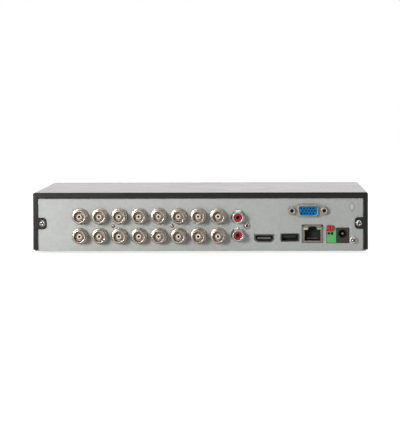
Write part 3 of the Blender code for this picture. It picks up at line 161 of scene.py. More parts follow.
def makeGrain():
    # the fine texture of moulded, painted and rolled surfaces
    tree, given, spot = newEffect("surfaceGrain", Scale=2500.0, Roundness=0.5)
    noise = addNoise(tree, spot, given["Scale"], 4.0)
    values = {"Vector": spot, "Scale": given["Scale"]}
    cells = addNode(tree, "ShaderNodeTexVoronoi", values, feature="SMOOTH_F1").outputs["Distance"]
    height = addMath(tree, "ADD", noise, addMath(tree, "MULTIPLY", cells, given["Roundness"]))
    return endEffect(tree, Tone=addShares(tree, noise, 0.4, addNoise(tree, spot, 60.0, 5.0)), Height=height)


def makeTurning():
    # fine rings left by the lathe, across the way the jacks stand
    tree, given, spot = newEffect("turningMarks", Scale=900.0, Waver=0.3)
    stretched = addVectorMath(tree, "MULTIPLY", spot, (0.15, 6.0, 0.15))
    rings = addNoise(tree, stretched, given["Scale"], 2.0, given["Waver"])
    return endEffect(tree, Tone=addShares(tree, rings, 0.4, addNoise(tree, spot, 240.0, 3.0)), Height=rings)


def makeEdgeWear():
    tree, given, spot = newEffect("edgeWear", Radius=0.0004, Amount=0.5, Breakup=400.0)
    rounded = addNode(tree, "ShaderNodeBevel", {"Radius": given["Radius"]}, samples=4).outputs[0]
    flat = tree.nodes.new("ShaderNodeNewGeometry").outputs["Normal"]
    edge = addRange(tree, addVectorMath(tree, "DOT_PRODUCT", rounded, flat, output=1), 0.999, 0.86)
    torn = addRange(tree, addNoise(tree, spot, given["Breakup"], 5.0), 0.38, 0.62)
    worn = addMath(tree, "MULTIPLY", edge, torn)
    return endEffect(tree, Mask=addMath(tree, "MULTIPLY", worn, given["Amount"], clamp=True))


def makeHandling():
    # hands leave some places duller than others
    tree, given, spot = newEffect("handling", Scale=35.0, Low=0.3, High=0.5)
    marks = addNoise(tree, spot, given["Scale"], 6.0, 0.6)
    return endEffect(tree, Value=addRange(tree, marks, 0.3, 0.7, given["Low"], given["High"]))


def makeDust():
    tree, given, spot = newEffect("dust", Amount=0.1, Scale=300.0)
    normal = tree.nodes.new("ShaderNodeNewGeometry").outputs["Normal"]
    up = addNode(tree, "ShaderNodeSeparateXYZ", {"Vector": normal}).outputs["Z"]
    specks = addRange(tree, addNoise(tree, spot, given["Scale"], 6.0), 0.45, 0.75)
    lying = addMath(tree, "MULTIPLY", addRange(tree, up, 0.2, 0.9), specks)
    return endEffect(tree, Mask=addMath(tree, "MULTIPLY", lying, given["Amount"], clamp=True))


effects = {"spangle": makeSpangle(), "grain": makeGrain(), "turning": makeTurning()}
edgeWear = makeEdgeWear()
handling = makeHandling()
dust = makeDust()

dustTone = (0.55, 0.53, 0.50)
coatRoughness = 0.08
reliefDistance = 0.1 * mm

# two colours that the pattern mixes, then how the surface takes light
finishes = {
    "zincSheet": dict(colours=((0.330, 0.351, 0.340), (0.370, 0.388, 0.377)), rough=(0.44, 0.52), bump=0.10,
        wear=(0.70, 0.72, 0.70), wearAmount=0.5, pattern="spangle", scale=520.0, metallic=0.55,
        dustAmount=0.02),
    "blackPaint": dict(colours=((0.0078, 0.0077, 0.0060), (0.0115, 0.0113, 0.0092)), rough=(0.22, 0.25),
        bump=0.03, wear=(0.10, 0.10, 0.095), wearAmount=0.25, scale=2200.0, specular=0.35),
    "blackPlastic": dict(colours=((0.009, 0.009, 0.009), (0.015, 0.014, 0.014)), rough=(0.42, 0.55),
        bump=0.15, wear=(0.07, 0.07, 0.07), scale=1600.0, specular=0.3, dustAmount=0.05),
    "jackPlastic": dict(colours=((0.026, 0.023, 0.020), (0.036, 0.032, 0.028)), rough=(0.40, 0.52),
        bump=0.18, wear=(0.16, 0.15, 0.14), wearAmount=0.35, scale=1800.0, specular=0.3, dustAmount=0.02),
    "glossPlastic": dict(colours=((0.010, 0.010, 0.011), (0.014, 0.014, 0.015)), rough=(0.08, 0.16),
        bump=0.03, wear=(0.05, 0.05, 0.05), wearAmount=0.2, scale=900.0, coat=0.6, dustAmount=0.03),
    "clearLens": dict(colours=((0.70, 0.74, 0.76), (0.80, 0.83, 0.85)), rough=(0.10, 0.22), bump=0.05,
        wear=(0.9, 0.9, 0.9), wearAmount=0.2, scale=900.0, coat=0.5, dustAmount=0.02),
    "rubber": dict(colours=((0.020, 0.020, 0.020), (0.034, 0.033, 0.032)), rough=(0.70, 0.88), bump=0.25,
        wear=(0.10, 0.10, 0.10), scale=1400.0, dustAmount=0.12),
    "nickelPlate": dict(colours=((0.42, 0.36, 0.30), (0.56, 0.49, 0.42)), rough=(0.22, 0.32), bump=0.04,
        wear=(0.80, 0.74, 0.66), wearAmount=0.25, pattern="turning", scale=700.0, metallic=1.0),
    "satinNickel": dict(colours=((0.40, 0.34, 0.28), (0.52, 0.45, 0.38)), rough=(0.42, 0.56), bump=0.08,
        wear=(0.80, 0.74, 0.66), wearAmount=0.2, scale=700.0, metallic=0.45),
    "shadowBlack": dict(colours=((0.004, 0.004, 0.004), (0.008, 0.008, 0.007)), rough=(0.60, 0.75),
        bump=0.05, wear=(0.01, 0.01, 0.01), wearAmount=0.1, specular=0.1),
    "brightScrew": dict(colours=((0.52, 0.47, 0.42), (0.68, 0.63, 0.58)), rough=(0.16, 0.28), bump=0.06,
        wear=(0.95, 0.92, 0.88), wearAmount=0.5, pattern="turning", scale=900.0, metallic=1.0),
    "copperScrew": dict(colours=((0.62, 0.46, 0.36), (0.76, 0.60, 0.50)), rough=(0.22, 0.36), bump=0.06,
        wear=(0.90, 0.80, 0.72), wearAmount=0.5, pattern="turning", scale=900.0, metallic=1.0),
    "chrome": dict(colours=((0.60, 0.60, 0.60), (0.72, 0.72, 0.71)), rough=(0.20, 0.30), bump=0.03,
        wear=(0.95, 0.95, 0.95), wearAmount=0.4, pattern="turning", scale=900.0, metallic=1.0),
    "tinPlate": dict(colours=((0.46, 0.46, 0.44), (0.56, 0.56, 0.54)), rough=(0.26, 0.40), bump=0.10,
        wear=(0.75, 0.73, 0.70), wearAmount=0.5, scale=900.0, metallic=0.8),
    "warmTin": dict(colours=((0.46, 0.39, 0.32), (0.58, 0.50, 0.42)), rough=(0.24, 0.36), bump=0.08,
        wear=(0.75, 0.70, 0.62), wearAmount=0.4, scale=900.0, metallic=0.9),
    "darkTin": dict(colours=((0.15, 0.14, 0.13), (0.22, 0.20, 0.185)), rough=(0.34, 0.48), bump=0.10,
        wear=(0.42, 0.40, 0.37), wearAmount=0.5, scale=900.0, metallic=0.75),
    "stampedTin": dict(colours=((0.25, 0.245, 0.23), (0.33, 0.32, 0.30)), rough=(0.32, 0.44), bump=0.10,
        wear=(0.60, 0.56, 0.50), wearAmount=0.7, scale=900.0, metallic=0.75),
    # tin darkened almost to black
    "nearBlackTin": dict(colours=((0.050, 0.047, 0.043), (0.080, 0.075, 0.068)), rough=(0.36, 0.48), bump=0.10,
        wear=(0.26, 0.24, 0.21), wearAmount=0.4, scale=900.0, metallic=0.6),
    "gold": dict(colours=((0.72, 0.50, 0.20), (0.86, 0.62, 0.28)), rough=(0.20, 0.32), bump=0.03,
        wear=(0.95, 0.75, 0.40), scale=1200.0, metallic=1.0),
    "creamPlastic": dict(colours=((0.72, 0.64, 0.54), (0.82, 0.74, 0.65)), rough=(0.34, 0.46), bump=0.06,
        wear=(0.9, 0.85, 0.78), wearAmount=0.2),
    "redPlastic": dict(colours=((0.44, 0.012, 0.014), (0.51, 0.018, 0.020)), rough=(0.32, 0.44), bump=0.08,
        wear=(0.80, 0.16, 0.16), specular=0.25),
    "greenPlastic": dict(colours=((0.062, 0.360, 0.094), (0.080, 0.410, 0.112)), rough=(0.36, 0.48),
        bump=0.10, wear=(0.20, 0.60, 0.26)),
    "bluePlastic": dict(colours=((0.000, 0.150, 0.440), (0.000, 0.175, 0.480)), rough=(0.34, 0.46),
        bump=0.08, wear=(0.06, 0.28, 0.55), wearAmount=0.15, specular=0.10),
    "greyPlastic": dict(colours=((0.085, 0.082, 0.074), (0.115, 0.110, 0.100)), rough=(0.38, 0.50),
        bump=0.08, wear=(0.42, 0.41, 0.40)),
    "amberLens": dict(colours=((0.66, 0.45, 0.28), (0.76, 0.54, 0.36)), rough=(0.20, 0.30), bump=0.04,
        wear=(0.9, 0.8, 0.6), wearAmount=0.2, coat=0.4),
    "greenLens": dict(colours=((0.07, 0.42, 0.11), (0.12, 0.54, 0.17)), rough=(0.20, 0.30), bump=0.04,
        wear=(0.6, 0.9, 0.6), wearAmount=0.2, coat=0.4),
    "boardMask": dict(colours=((0.010, 0.110, 0.045), (0.020, 0.170, 0.075)), rough=(0.30, 0.42), bump=0.06,
        wear=(0.40, 0.36, 0.18), wearAmount=0.4, scale=700.0, dustAmount=0.05),
    "blackAluminium": dict(colours=((0.020, 0.020, 0.021), (0.034, 0.034, 0.035)), rough=(0.38, 0.50),
        bump=0.08, wear=(0.30, 0.30, 0.30), wearAmount=0.5, scale=1300.0, metallic=0.6, dustAmount=0.06),
    "castAluminium": dict(colours=((0.30, 0.30, 0.31), (0.42, 0.42, 0.43)), rough=(0.42, 0.58), bump=0.20,
        wear=(0.60, 0.60, 0.60), wearAmount=0.5, scale=800.0, metallic=0.9, dustAmount=0.05),
    "redSleeve": dict(colours=((0.42, 0.022, 0.016), (0.54, 0.036, 0.026)), rough=(0.40, 0.55), bump=0.10,
        wear=(0.6, 0.2, 0.2), wearAmount=0.2, scale=1100.0, dustAmount=0.05),
}


def makeFinish(name, colours, rough, bump, wear, wearAmount=0.3, pattern="grain", scale=1500.0, metallic=0.0,
               specular=0.5, coat=0.0, dustAmount=0.0):
    material = bpy.data.materials.new(name)
    material.use_nodes = True
    material.diffuse_color = (*colours[1], 1.0)
    tree = material.node_tree
    shader = tree.nodes["Principled BSDF"]
    fixed = {"Metallic": metallic, "Specular IOR Level": specular, "Coat Weight": coat,
             "Coat Roughness": coatRoughness}
    for label, value in fixed.items():
        shader.inputs[label].default_value = value
    marks = place(tree, effects[pattern], {"Scale": scale})
    colour = addMix(tree, addRange(tree, marks["Tone"], 0.25, 0.75), *colours)
    colour = addMix(tree, place(tree, edgeWear, {"Amount": wearAmount})["Mask"], colour, wear)
    if dustAmount:
        colour = addMix(tree, place(tree, dust, {"Amount": dustAmount})["Mask"], colour, dustTone)
    tree.links.new(colour, shader.inputs["Base Color"])
    hazy = place(tree, handling, {"Low": rough[0], "High": rough[1]})["Value"]
    tree.links.new(hazy, shader.inputs["Roughness"])
    values = {"Height": marks["Height"], "Strength": bump, "Distance": reliefDistance}
    tree.links.new(addNode(tree, "ShaderNodeBump", values).outputs[0], shader.inputs["Normal"])
    return material


finish = {name: makeFinish(name, **look) for name, look in finishes.items()}
print("finishes made:", len(finish))


# helpers for meshes: an outline is drawn in x and z, and a profile is (radius, distance out) pairs

same = 1e-6  # closer than this is the same place
origin = Vector((0.0, 0.0, 0.0))


def showObject(name, data):
    thing = bpy.data.objects.new(name, data)
    bpy.context.scene.collection.objects.link(thing)
    return thing


def newObject(name, shape, paint=None):
    mesh = bpy.data.meshes.new(name)
    shape.to_mesh(mesh)
    shape.free()
    if paint:
        mesh.materials.append(finish[paint])
    return showObject(name, mesh)


def settle(piece):
    bpy.context.view_layer.update()
    evaluated = piece.evaluated_get(bpy.context.evaluated_depsgraph_get())
    mesh = bpy.data.meshes.new_from_object(evaluated)
    piece.modifiers.clear()
    piece.data = mesh
    return piece


def drop(*pieces):
    for piece in pieces:
        bpy.data.objects.remove(piece)


def filleted(points, radius, steps=4):
    # rounds each corner; radius is one number, or one for each corner
    radii = radius if isinstance(radius, (list, tuple)) else [radius] * len(points)
    result = []
    for i, here in enumerate(points):
        here = Vector(here)
        if radii[i] <= 0:
            result.append(tuple(here))
            continue
        before, after = Vector(points[i - 1]) - here, Vector(points[(i + 1) % len(points)]) - here
        cut = min(radii[i], 0.49 * before.length, 0.49 * after.length)
        start, end = here + before.normalized() * cut, here + after.normalized() * cut
        for step in range(steps + 1):
            t = step / steps
            result.append(tuple(start * (1 - t) ** 2 + here * 2 * t * (1 - t) + end * t * t))
    return result


def mirrored(points):
    return points + [(-x, z) for x, z in reversed(points)]


def rectangle(low, high):
    return [(low[0], low[1]), (high[0], low[1]), (high[0], high[1]), (low[0], high[1])]


def boxOutline(low, high, inset=0.0, corner=0.0):
    # the outline of the box between two places, drawn in by so many mm
    low, high = [(low[i] + inset * mm, high[i] - inset * mm) for i in (0, 2)]
    points = rectangle((low[0], high[0]), (low[1], high[1]))
    return filleted(points, corner * mm, 3) if corner else points


def outlineAt(spot, points):
    # puts an outline in mm round a place
    return [(spot[0] + x * mm, spot[2] + z * mm) for x, z in points]


def slab(outline, near, far, nearMove=0.0, farMove=0.0):
    # an outline drawn out along y from near (the smaller) to far, each moved by so many mm
    shape = bmesh.new()
    ends = (near + nearMove * mm, far + farMove * mm)
    front, back = ([shape.verts.new((x, y, z)) for x, z in outline] for y in ends)
    shape.faces.new(front)
    shape.faces.new(back[::-1])
    for i in range(len(outline)):
        j = (i + 1) % len(outline)
        shape.faces.new((front[i], back[i], back[j], front[j]))
    bmesh.ops.recalc_face_normals(shape, faces=shape.faces)
    return shape


def block(low, high, lowMove=(0, 0, 0), highMove=(0, 0, 0)):
    # a box between two places, each moved by so many mm
    low = [at + move * mm for at, move in zip(low, lowMove)]
    high = [at + move * mm for at, move in zip(high, highMove)]
    return slab(rectangle((low[0], low[2]), (high[0], high[2])), low[1], high[1])


def sharpen(shape, degrees=32):
    for face in shape.faces:
        face.smooth = True
    for edge in shape.edges:
        if len(edge.link_faces) == 2:
            edge.smooth = edge.calc_face_angle() < math.radians(degrees)
    return shape


def turned(profile, steps, centre=origin, rounding=None, arcSteps=3):
    # a profile in mm, spun about the axis that looks to the rear
    points = [(radius * mm, out * mm) for radius, out in profile]
    if rounding:
        points = filleted(points, [radius * mm for radius in rounding], arcSteps)
    shape = bmesh.new()
    rings = []
    for radius, out in points:
        y = centre[1] - out
        if radius < same / 10:
            rings.append([shape.verts.new((centre[0], y, centre[2]))] * steps)
            continue
        angles = [2 * math.pi * i / steps for i in range(steps)]
        rings.append([shape.verts.new((centre[0] + radius * math.cos(a), y, centre[2] + radius * math.sin(a)))
                      for a in angles])
    for i, ring in enumerate(rings):
        following = rings[(i + 1) % len(rings)]
        for j in range(steps):
            k = (j + 1) % steps
            corners = list(dict.fromkeys((ring[j], ring[k], following[k], following[j])))
            if len(corners) > 2:
                shape.faces.new(corners)
    bmesh.ops.recalc_face_normals(shape, faces=shape.faces)
    return sharpen(shape)


def rod(radius, start, end, steps, centre=origin):
    return turned([(0, start), (radius, start), (radius, end), (0, end)], steps, centre)


def rotate(shape, angle, axis):
    bmesh.ops.rotate(shape, verts=shape.verts, cent=origin, matrix=Matrix.Rotation(angle, 3, axis))
    return shape


def carve(piece, tools, operation="DIFFERENCE"):
    # takes shapes away from a piece, or joins them to it
    tools = [tool if isinstance(tool, bpy.types.Object) else newObject("tool", tool) for tool in tools]
    for tool in tools:
        modifier = piece.modifiers.new("carve", "BOOLEAN")
        modifier.operation = operation
        modifier.solver = "EXACT"
        modifier.object = tool
    settle(piece)
    drop(*tools)
    return piece


def soften(piece, width, segments, angle=35.0):
    # joins flat neighbours, then rounds the sharp edges by so many mm
    shape = bmesh.new()
    shape.from_mesh(piece.data)
    bmesh.ops.remove_doubles(shape, verts=shape.verts, dist=same)
    bmesh.ops.dissolve_limit(shape, angle_limit=math.radians(1.0), use_dissolve_boundaries=False,
                             verts=shape.verts, edges=shape.edges)
    for part in (*shape.faces, *shape.edges):
        part.smooth = True
    shape.to_mesh(piece.data)
    shape.free()
    bevel = piece.modifiers.new("soften", "BEVEL")
    bevel.width = width * mm
    bevel.segments = segments
    bevel.limit_method = "ANGLE"
    bevel.angle_limit = math.radians(angle)
    bevel.miter_outer = "MITER_ARC"
    weighted = piece.modifiers.new("evenShading", "WEIGHTED_NORMAL")
    weighted.keep_sharp = True
    return settle(piece)


def finishPiece(piece, body, replaced):
    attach(piece, body)
    if replaced:
        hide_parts(*replaced)
    return piece


def build(name, shape, paint, slot=None, *replaced, body="case", add=(), cut=(), edges=None):
    # edges are the width, segments and least angle that soften takes
    piece = newObject(name, shape, paint)
    if add:
        carve(piece, add, "UNION")
    if cut:
        carve(piece, cut)
    if edges:
        soften(piece, *edges)
    return finishPiece(piece, body, replaced)


def refined(node, name, paint, slot, edges, cut=()):
    # a clean copy of a frame node, with softened edges
    source = nodes[node].data
    mesh = bpy.data.meshes.new(name)
    mesh.from_pydata([tuple(v.co) for v in source.vertices], [], [tuple(p.vertices) for p in source.polygons])
    shape = bmesh.new()
    shape.from_mesh(mesh)
    bpy.data.meshes.remove(mesh)
    bmesh.ops.remove_doubles(shape, verts=shape.verts, dist=same)
    return build(name, shape, paint, slot, node, body=nodes[node]["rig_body"], cut=cut, edges=edges)


def middle(node):
    low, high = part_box(node)
    return (low + high) / 2


# geometry node trees for what repeats

def makeTree(name, points, *inputs):
    # puts the source, or a bar of its own, at each point that points() gives
    sockets = [*inputs, ("Finish", "Material", None)]
    tree, given, out = newGroup(name, "GeometryNodeTree", sockets, [("Geometry", "Geometry", None)])
    values = {"Points": points(tree, given)}
    if "Size" in given:
        values["Instance"] = addNode(tree, "GeometryNodeMeshCube", {"Size": given["Size"]}).outputs[0]
    else:
        values["Instance"] = addNode(tree, "GeometryNodeObjectInfo", {"Object": given["Source"]},
                                     transform_space="ORIGINAL").outputs["Geometry"]
        least = addMath(tree, "MULTIPLY", given["Turn"], -1.0)
        limits = {2: least, 3: given["Turn"], "Seed": given["Seed"]}
        spread = addNode(tree, "FunctionNodeRandomValue", limits, data_type="FLOAT")
        values["Rotation"] = addNode(tree, "ShaderNodeCombineXYZ", {"Y": spread.outputs[1]}).outputs[0]
    placed = addNode(tree, "GeometryNodeInstanceOnPoints", values)
    whole = addNode(tree, "GeometryNodeRealizeInstances", {"Geometry": placed.outputs[0]})
    values = {"Geometry": whole.outputs[0], "Material": given["Finish"]}
    tree.links.new(addNode(tree, "GeometryNodeSetMaterial", values).outputs[0], out["Geometry"])
    return tree


def linePoints(tree, given, count="Count", step="Step", first="First"):
    values = {"Count": given[count], "Start Location": given[first], "Offset": given[step]}
    return addNode(tree, "GeometryNodeMeshLine", values).outputs[0]


def gridPoints(tree, given):
    rows = linePoints(tree, given, "Rows", "Row Step")
    values = {"Count": given["Columns"], "Offset": given["Column Step"]}
    columns = addNode(tree, "GeometryNodeMeshLine", values).outputs[0]
    cells = addNode(tree, "GeometryNodeInstanceOnPoints", {"Points": rows, "Instance": columns})
    return addNode(tree, "GeometryNodeRealizeInstances", {"Geometry": cells.outputs[0]}).outputs[0]


start = ("First", "Vector", (0.0, 0.0, 0.0))
copied = (("Source", "Object", None), ("Turn", "Float", 0.0), ("Seed", "Int", 0))
gridTree = makeTree(
    "placeInGrid", gridPoints, *copied, start, ("Columns", "Int", 8), ("Rows", "Int", 2),
    ("Column Step", "Vector", (0.015, 0.0, 0.0)), ("Row Step", "Vector", (0.0, 0.0, -0.015)))
scatterTree = makeTree(
    "placeAtPoints", lambda tree, given: given["Places"], ("Places", "Geometry", None), *copied)
# a row of small bars: contacts, or the punches that cut slots
stripTree = makeTree(
    "rowOfBars", linePoints, start, ("Count", "Int", 4), ("Step", "Vector", (0.001, 0.0, 0.0)),
    ("Size", "Vector", (0.001, 0.001, 0.001)))


def grow(name, tree, values, points=()):
    mesh = bpy.data.meshes.new(name)
    mesh.from_pydata([tuple(p) for p in points], [], [])
    piece = showObject(name, mesh)
    modifier = piece.modifiers.new("grow", "NODES")
    modifier.node_group = tree
    for item in tree.interface.items_tree:
        if item.item_type == "SOCKET" and item.in_out == "INPUT" and item.name in values:
            modifier[item.identifier] = values[item.name]
    return settle(piece)


def growBars(name, paint, count, step, size, first):
    # step and size are in mm, first is a place
    step, size = (tuple(length * mm for length in lengths) for lengths in (step, size))
    values = {"Count": count, "Step": step, "Size": size, "First": first, "Finish": finish[paint]}
    return grow(name, stripTree, values)


def addContacts(name, look, x, mouth, z):
    # a row of gold contacts on both sides of x, in a socket's mouth
    count, pitch = look["contacts"], look["contactPitch"]
    first = (x - (count - 1) * pitch * mm / 2, mouth + look["contactIn"] * mm, z)
    bars = growBars(name, "gold", count, (pitch, 0, 0), look["contactSize"], first)
    finishPiece(bars, "case", ())


def repeat(name, source, paint, values, slot=None, *replaced, points=(), body="case"):
    # copies of one shape: at the points if there are any, or else in a grid
    source = source if isinstance(source, bpy.types.Object) else newObject("source", source)
    values = {**values, "Source": source, "Finish": finish[paint]}
    piece = grow(name, scatterTree if points else gridTree, values, points)
    drop(source)
    return finishPiece(piece, body, replaced)


# the case

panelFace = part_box("ground_washer")[1].y + gap

coverLook = dict(
    bend=1.3, wall=1.0, frameSide=3.8, frameTop=4.7, frameCorner=0.15, tabReach=10.4, tabHeight=9.1,
    tabCorner=3.2, tabRoot=0.4, slotCount=8, slotPitch=5.4, slotSize=(2.4, 17.0), screwHole=1.6)


def foldedBox(low, high, bend, segments):
    # the long bends at the top, and the bends round the rear frame
    shape = block(low, high)
    folds = []
    for edge in shape.edges:
        spot = (edge.verts[0].co + edge.verts[1].co) / 2
        aside = abs(spot.x - (low[0] + high[0]) / 2) - (high[0] - low[0]) / 2
        if sum(abs(off) < same for off in (aside, spot.z - high[2], spot.y - low[1])) == 2:
            folds.append(edge)
    bmesh.ops.bevel(shape, geom=folds, offset=bend * mm, offset_type="OFFSET", segments=segments, profile=0.5,
                    affect="EDGES")
    return shape


def makeCover(look):
    low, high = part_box("top_cover")
    wall, rear = look["wall"] * mm, low.y
    screw, fan = middle("cover_screw_left"), middle("fan_frame")
    innerLow = (low.x + wall, rear + wall, low.z - 3 * wall)
    innerHigh = (high.x - wall, high.y + wall, high.z - wall)
    half, tab = high.x - look["frameSide"] * mm, high.x - look["tabReach"] * mm
    upper, lower = (screw.z + side * look["tabHeight"] * mm / 2 for side in (1, -1))
    right = [(half, high.z - look["frameTop"] * mm), (half, upper), (tab, upper), (tab, lower), (half, lower),
             (half, low.z - 10 * mm)]
    radii = [look[key] * mm for key in ("frameCorner", "tabRoot", "tabCorner", "tabCorner", "tabRoot")] + [0]
    window = slab(filleted(mirrored(right), radii + radii[::-1], 6), rear, rear, -2, 2)
    cutters = [foldedBox(innerLow, innerHigh, look["bend"] - look["wall"], 2), window]
    pitch, count = look["slotPitch"], look["slotCount"]
    for side in (-1, 1):
        first = (side * high.x, fan.y - (count - 1) * pitch * mm / 2, high.z / 2)
        punch = (4 * look["wall"], *look["slotSize"])
        cutters.append(growBars("slotPunches", "blackPaint", count, (0, pitch, 0), punch, first))
        cutters.append(rod(look["screwHole"], -3, 3, 24, (side * abs(screw.x), rear, screw.z)))
    build("coverShell", foldedBox(low, high, look["bend"], 5), "blackPaint", "black_paint", "top_cover",
          cut=cutters, edges=(0.14, 2))


makeCover(coverLook)

trayLook = dict(cornerCut=(5.2, 3.2), cutDepth=1.6)


def makeTray(look):
    low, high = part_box("chassis_tray")
    across, up = (size * mm for size in look["cornerCut"])
    corner = [(1, -1), (1, 2), (0, 1), (-1, 0), (-2, -1)]  # in shares of the cut
    cutters = []
    for side in (-1, 1):
        outline = [(side * (high.x + x * across), low.z + z * up) for x, z in corner]
        cutters.append(slab(outline, panelFace, panelFace, -1, look["cutDepth"]))
    refined("chassis_tray", "trayAndPanel", "zincSheet", "galvanised_steel", (0.10, 1), cutters)


makeTray(trayLook)

lozengeLook = dict(at=(117.6, 36.1), size=(4.4, 6.8), corner=0.5, rim=0.25, groove=0.55)


def makeLozenge(look):
    # stamped: a groove pressed in round a raised middle; the rim is dark tin as painted shade of the groove,
    # and the middle lighter tin as a painted highlight
    x, z = look["at"]
    halfX, halfZ = (side / 2 for side in look["size"])

    def lozenge(margin, near, far):
        across, up = halfX + margin, halfZ + margin * 1.5
        points = [(x + across, z), (x, z - up), (x - across, z), (x, z + up)]
        return slab(outlineAt(origin, filleted(points, look["corner"], 3)), panelFace, panelFace, near, far)

    build("lozengeRim", lozenge(look["rim"], -0.30, 0.1), "darkTin", cut=[lozenge(-look["groove"], -2, 1)],
          edges=(0.08, 1))
    build("lozengeCentre", lozenge(-look["groove"] - 0.1, -0.55, 0.1), "tinPlate", edges=(0.12, 2))


makeLozenge(lozengeLook)
print("case made")


# video jacks

jackNames = [f"video_jack_{i:02d}" for i in range(1, 17)]
jackLook = dict(
    reach=13.5, mouth=4.1, barrel=4.8, collar=5.35, base=6.3, baseHeight=3.2, floor=8.2, lug=0.95,
    lugReach=5.5, lugHeight=8.3, turn=0.10)


def makeJackShell(look):
    m, b, c, base, h, reach = (look[k] for k in ("mouth", "barrel", "collar", "base", "baseHeight", "reach"))
    points = [
        (2.35, 4.2), (m - 0.35, 4.2), (m - 0.35, 10.2), (m, 10.5), (m, reach), (b, reach), (b, 5.6),
        (b + 0.05, 4.6), (c, 4.5), (c, h + 0.05), (base - 0.35, h), (base, h - 0.4), (base, 0.35),
        (base - 0.25, clearance), (4.3, clearance), (4.3, -1.0), (2.35, -1.0)]
    radii = [0.1, 0.4, 0.2, 0.1, 0.22, 0.22, 0.15, 0.1, 0.12, 0.2, 0.2, 0.2, 0.15, 0.1, 0, 0, 0]
    width, tip, root = look["lug"], look["lugReach"], m + 0.2
    lugProfile = [(0, tip), (width, tip), (width, root), (0, root)]
    lugs = []
    for side in (-1, 1):
        lug = rotate(turned(lugProfile, 20, rounding=[0, 0.25, 0, 0]), math.radians(90 * side), "Z")
        bmesh.ops.translate(lug, verts=lug.verts, vec=(0, -look["lugHeight"] * mm, 0))
        lugs.append(lug)
    return carve(newObject("jackShell", turned(points, 56, rounding=radii)), lugs, "UNION")


def makeJacks(look):
    first = middle("video_jack_01")
    step = middle("video_jack_02").x - first.x
    rowStep = middle("video_jack_09").z - first.z
    values = {"Columns": 8, "Rows": 2, "Column Step": (step, 0, 0), "Row Step": (0, 0, rowStep),
              "First": (first.x, panelFace, first.z), "Turn": look["turn"], "Seed": 7}
    sleeve = turned(
        [(1.0, 3), (1.0, 12.4), (1.70, 12.6), (2.10, 12.0), (2.30, 8.6), (2.30, 2), (0.6, 2), (0.6, 3)], 32,
        rounding=[0, 0.15, 0.25, 0.2, 0, 0, 0, 0])
    # the centre contact, in shadow black: painted shade down the sleeve's hole
    contactShade = turned(
        [(0, 4.8), (0.42, 4.8), (0.45, 8.4), (0.75, 8.6), (0.90, 8.3), (0.90, 2.5), (0, 2.5)], 20)
    top, foot = look["floor"], look["floor"] - 0.8
    ring = turned([(2.36, foot), (2.36, top), (3.1, top + 0.25), (3.72, top), (3.72, foot)], 40,
                  rounding=[0, 0.1, 0.3, 0.1, 0])
    repeat("videoJackShells", makeJackShell(look), "nickelPlate", values, "nickel", *jackNames)
    repeat("videoJackSleeves", sleeve, "creamPlastic", values)
    repeat("videoJackContacts", contactShade, "shadowBlack", values)
    repeat("videoJackRings", ring, "satinNickel", values)


makeJacks(jackLook)
print("video jacks made")


# audio jacks

audioLook = dict(reach=12.5, bore=3.3, barrel=4.15, base=5.6, baseHeight=2.2, hole=1.6, linerReach=11.7)


def makeAudioJacks(look):
    upper, lower = middle("audio_jack_top"), middle("audio_jack_bottom")
    values = {"Columns": 1, "Rows": 2, "Row Step": (0, 0, lower.z - upper.z),
              "First": (upper.x, panelFace, upper.z), "Seed": 3}
    bore, barrel, base, h, reach = (look[k] for k in ("bore", "barrel", "base", "baseHeight", "reach"))
    hole, end = look["hole"], look["linerReach"]
    shell = turned(
        [(bore, -1), (bore, reach), (barrel, reach), (barrel, h + 0.9), (barrel + 0.5, h + 0.5),
         (base - 0.5, h), (base, h - 0.5), (base, clearance), (4.0, clearance), (4.0, -1)], 56,
        rounding=[0, 0.28, 0.28, 0.3, 0.3, 0.3, 0.3, 0.15, 0, 0], arcSteps=4)
    liner = turned(
        [(0, 3.1), (hole, 3.1), (hole, end - 0.2), (1.9, end), (2.80, end), (2.80, -1), (0, -1)], 40,
        rounding=[0, 0, 0.1, 0.1, 0.2, 0, 0])
    core = turned([(0.9, 4), (0.9, 10.2), (1.52, 10.2), (1.52, 3.3), (0, 3.3), (0, 4)], 28,
                  rounding=[0, 0.1, 0.1, 0, 0, 0], arcSteps=2)
    repeat("audioJackShells", shell, "chrome", values, "tinned_steel", "audio_jack_top", "audio_jack_bottom")
    repeat("audioJackLiners", liner, "redPlastic", values, "red_plastic", "audio_liner_top",
           "audio_liner_bottom")
    repeat("audioJackCores", core, "blackPlastic", values)


makeAudioJacks(audioLook)
print("audio jacks made")


# screws

screwLook = {
    "coverScrews": dict(at=("cover_screw_left", "cover_screw_right"), radius=2.55, height=1.7),
    "blockScrews": dict(at=("block_screw_left", "block_screw_middle"), radius=1.4, height=0.8,
                        paint="copperScrew"),
    "audioScrew": dict(at=("audio_screw",), radius=2.65, height=1.6),
    "groundScrew": dict(at=("ground_screw",), radius=2.6, height=1.8, body="ground_clamp"),
}
washerLook = dict(hole=1.85, radius=3.2, thickness=0.5)


def crossArms(radius, near, far, long=0.60, wide=0.13):
    # the two arms of a cross recess, in shares of the head's radius
    high = (radius * long, radius * wide)
    outline = outlineAt(origin, rectangle((-high[0], -high[1]), high))
    return [rotate(slab(outline, 0, 0, -near, -far), math.radians(angle) + 0.4, "Y") for angle in (0, 90)]


def makeScrewHead(radius, height, recess):
    # a pan head with a cross recess, its foot at the origin and its face to the rear
    profile = [(0, height), (radius * 0.62, height), (radius, height * 0.42), (radius, 0), (0, 0)]
    rounding = [0, radius * 0.30, height * 0.25, height * 0.10, 0]
    above, floor = height * 1.2, height - recess
    cone = turned([(0, above), (radius * 0.30, above), (radius * 0.12, floor), (0, floor)], 12)
    head = newObject("screwHead", turned(profile, 40, rounding=rounding))
    carve(head, crossArms(radius, above, floor) + [cone])
    return soften(head, radius * 0.03, 1, 40.0)


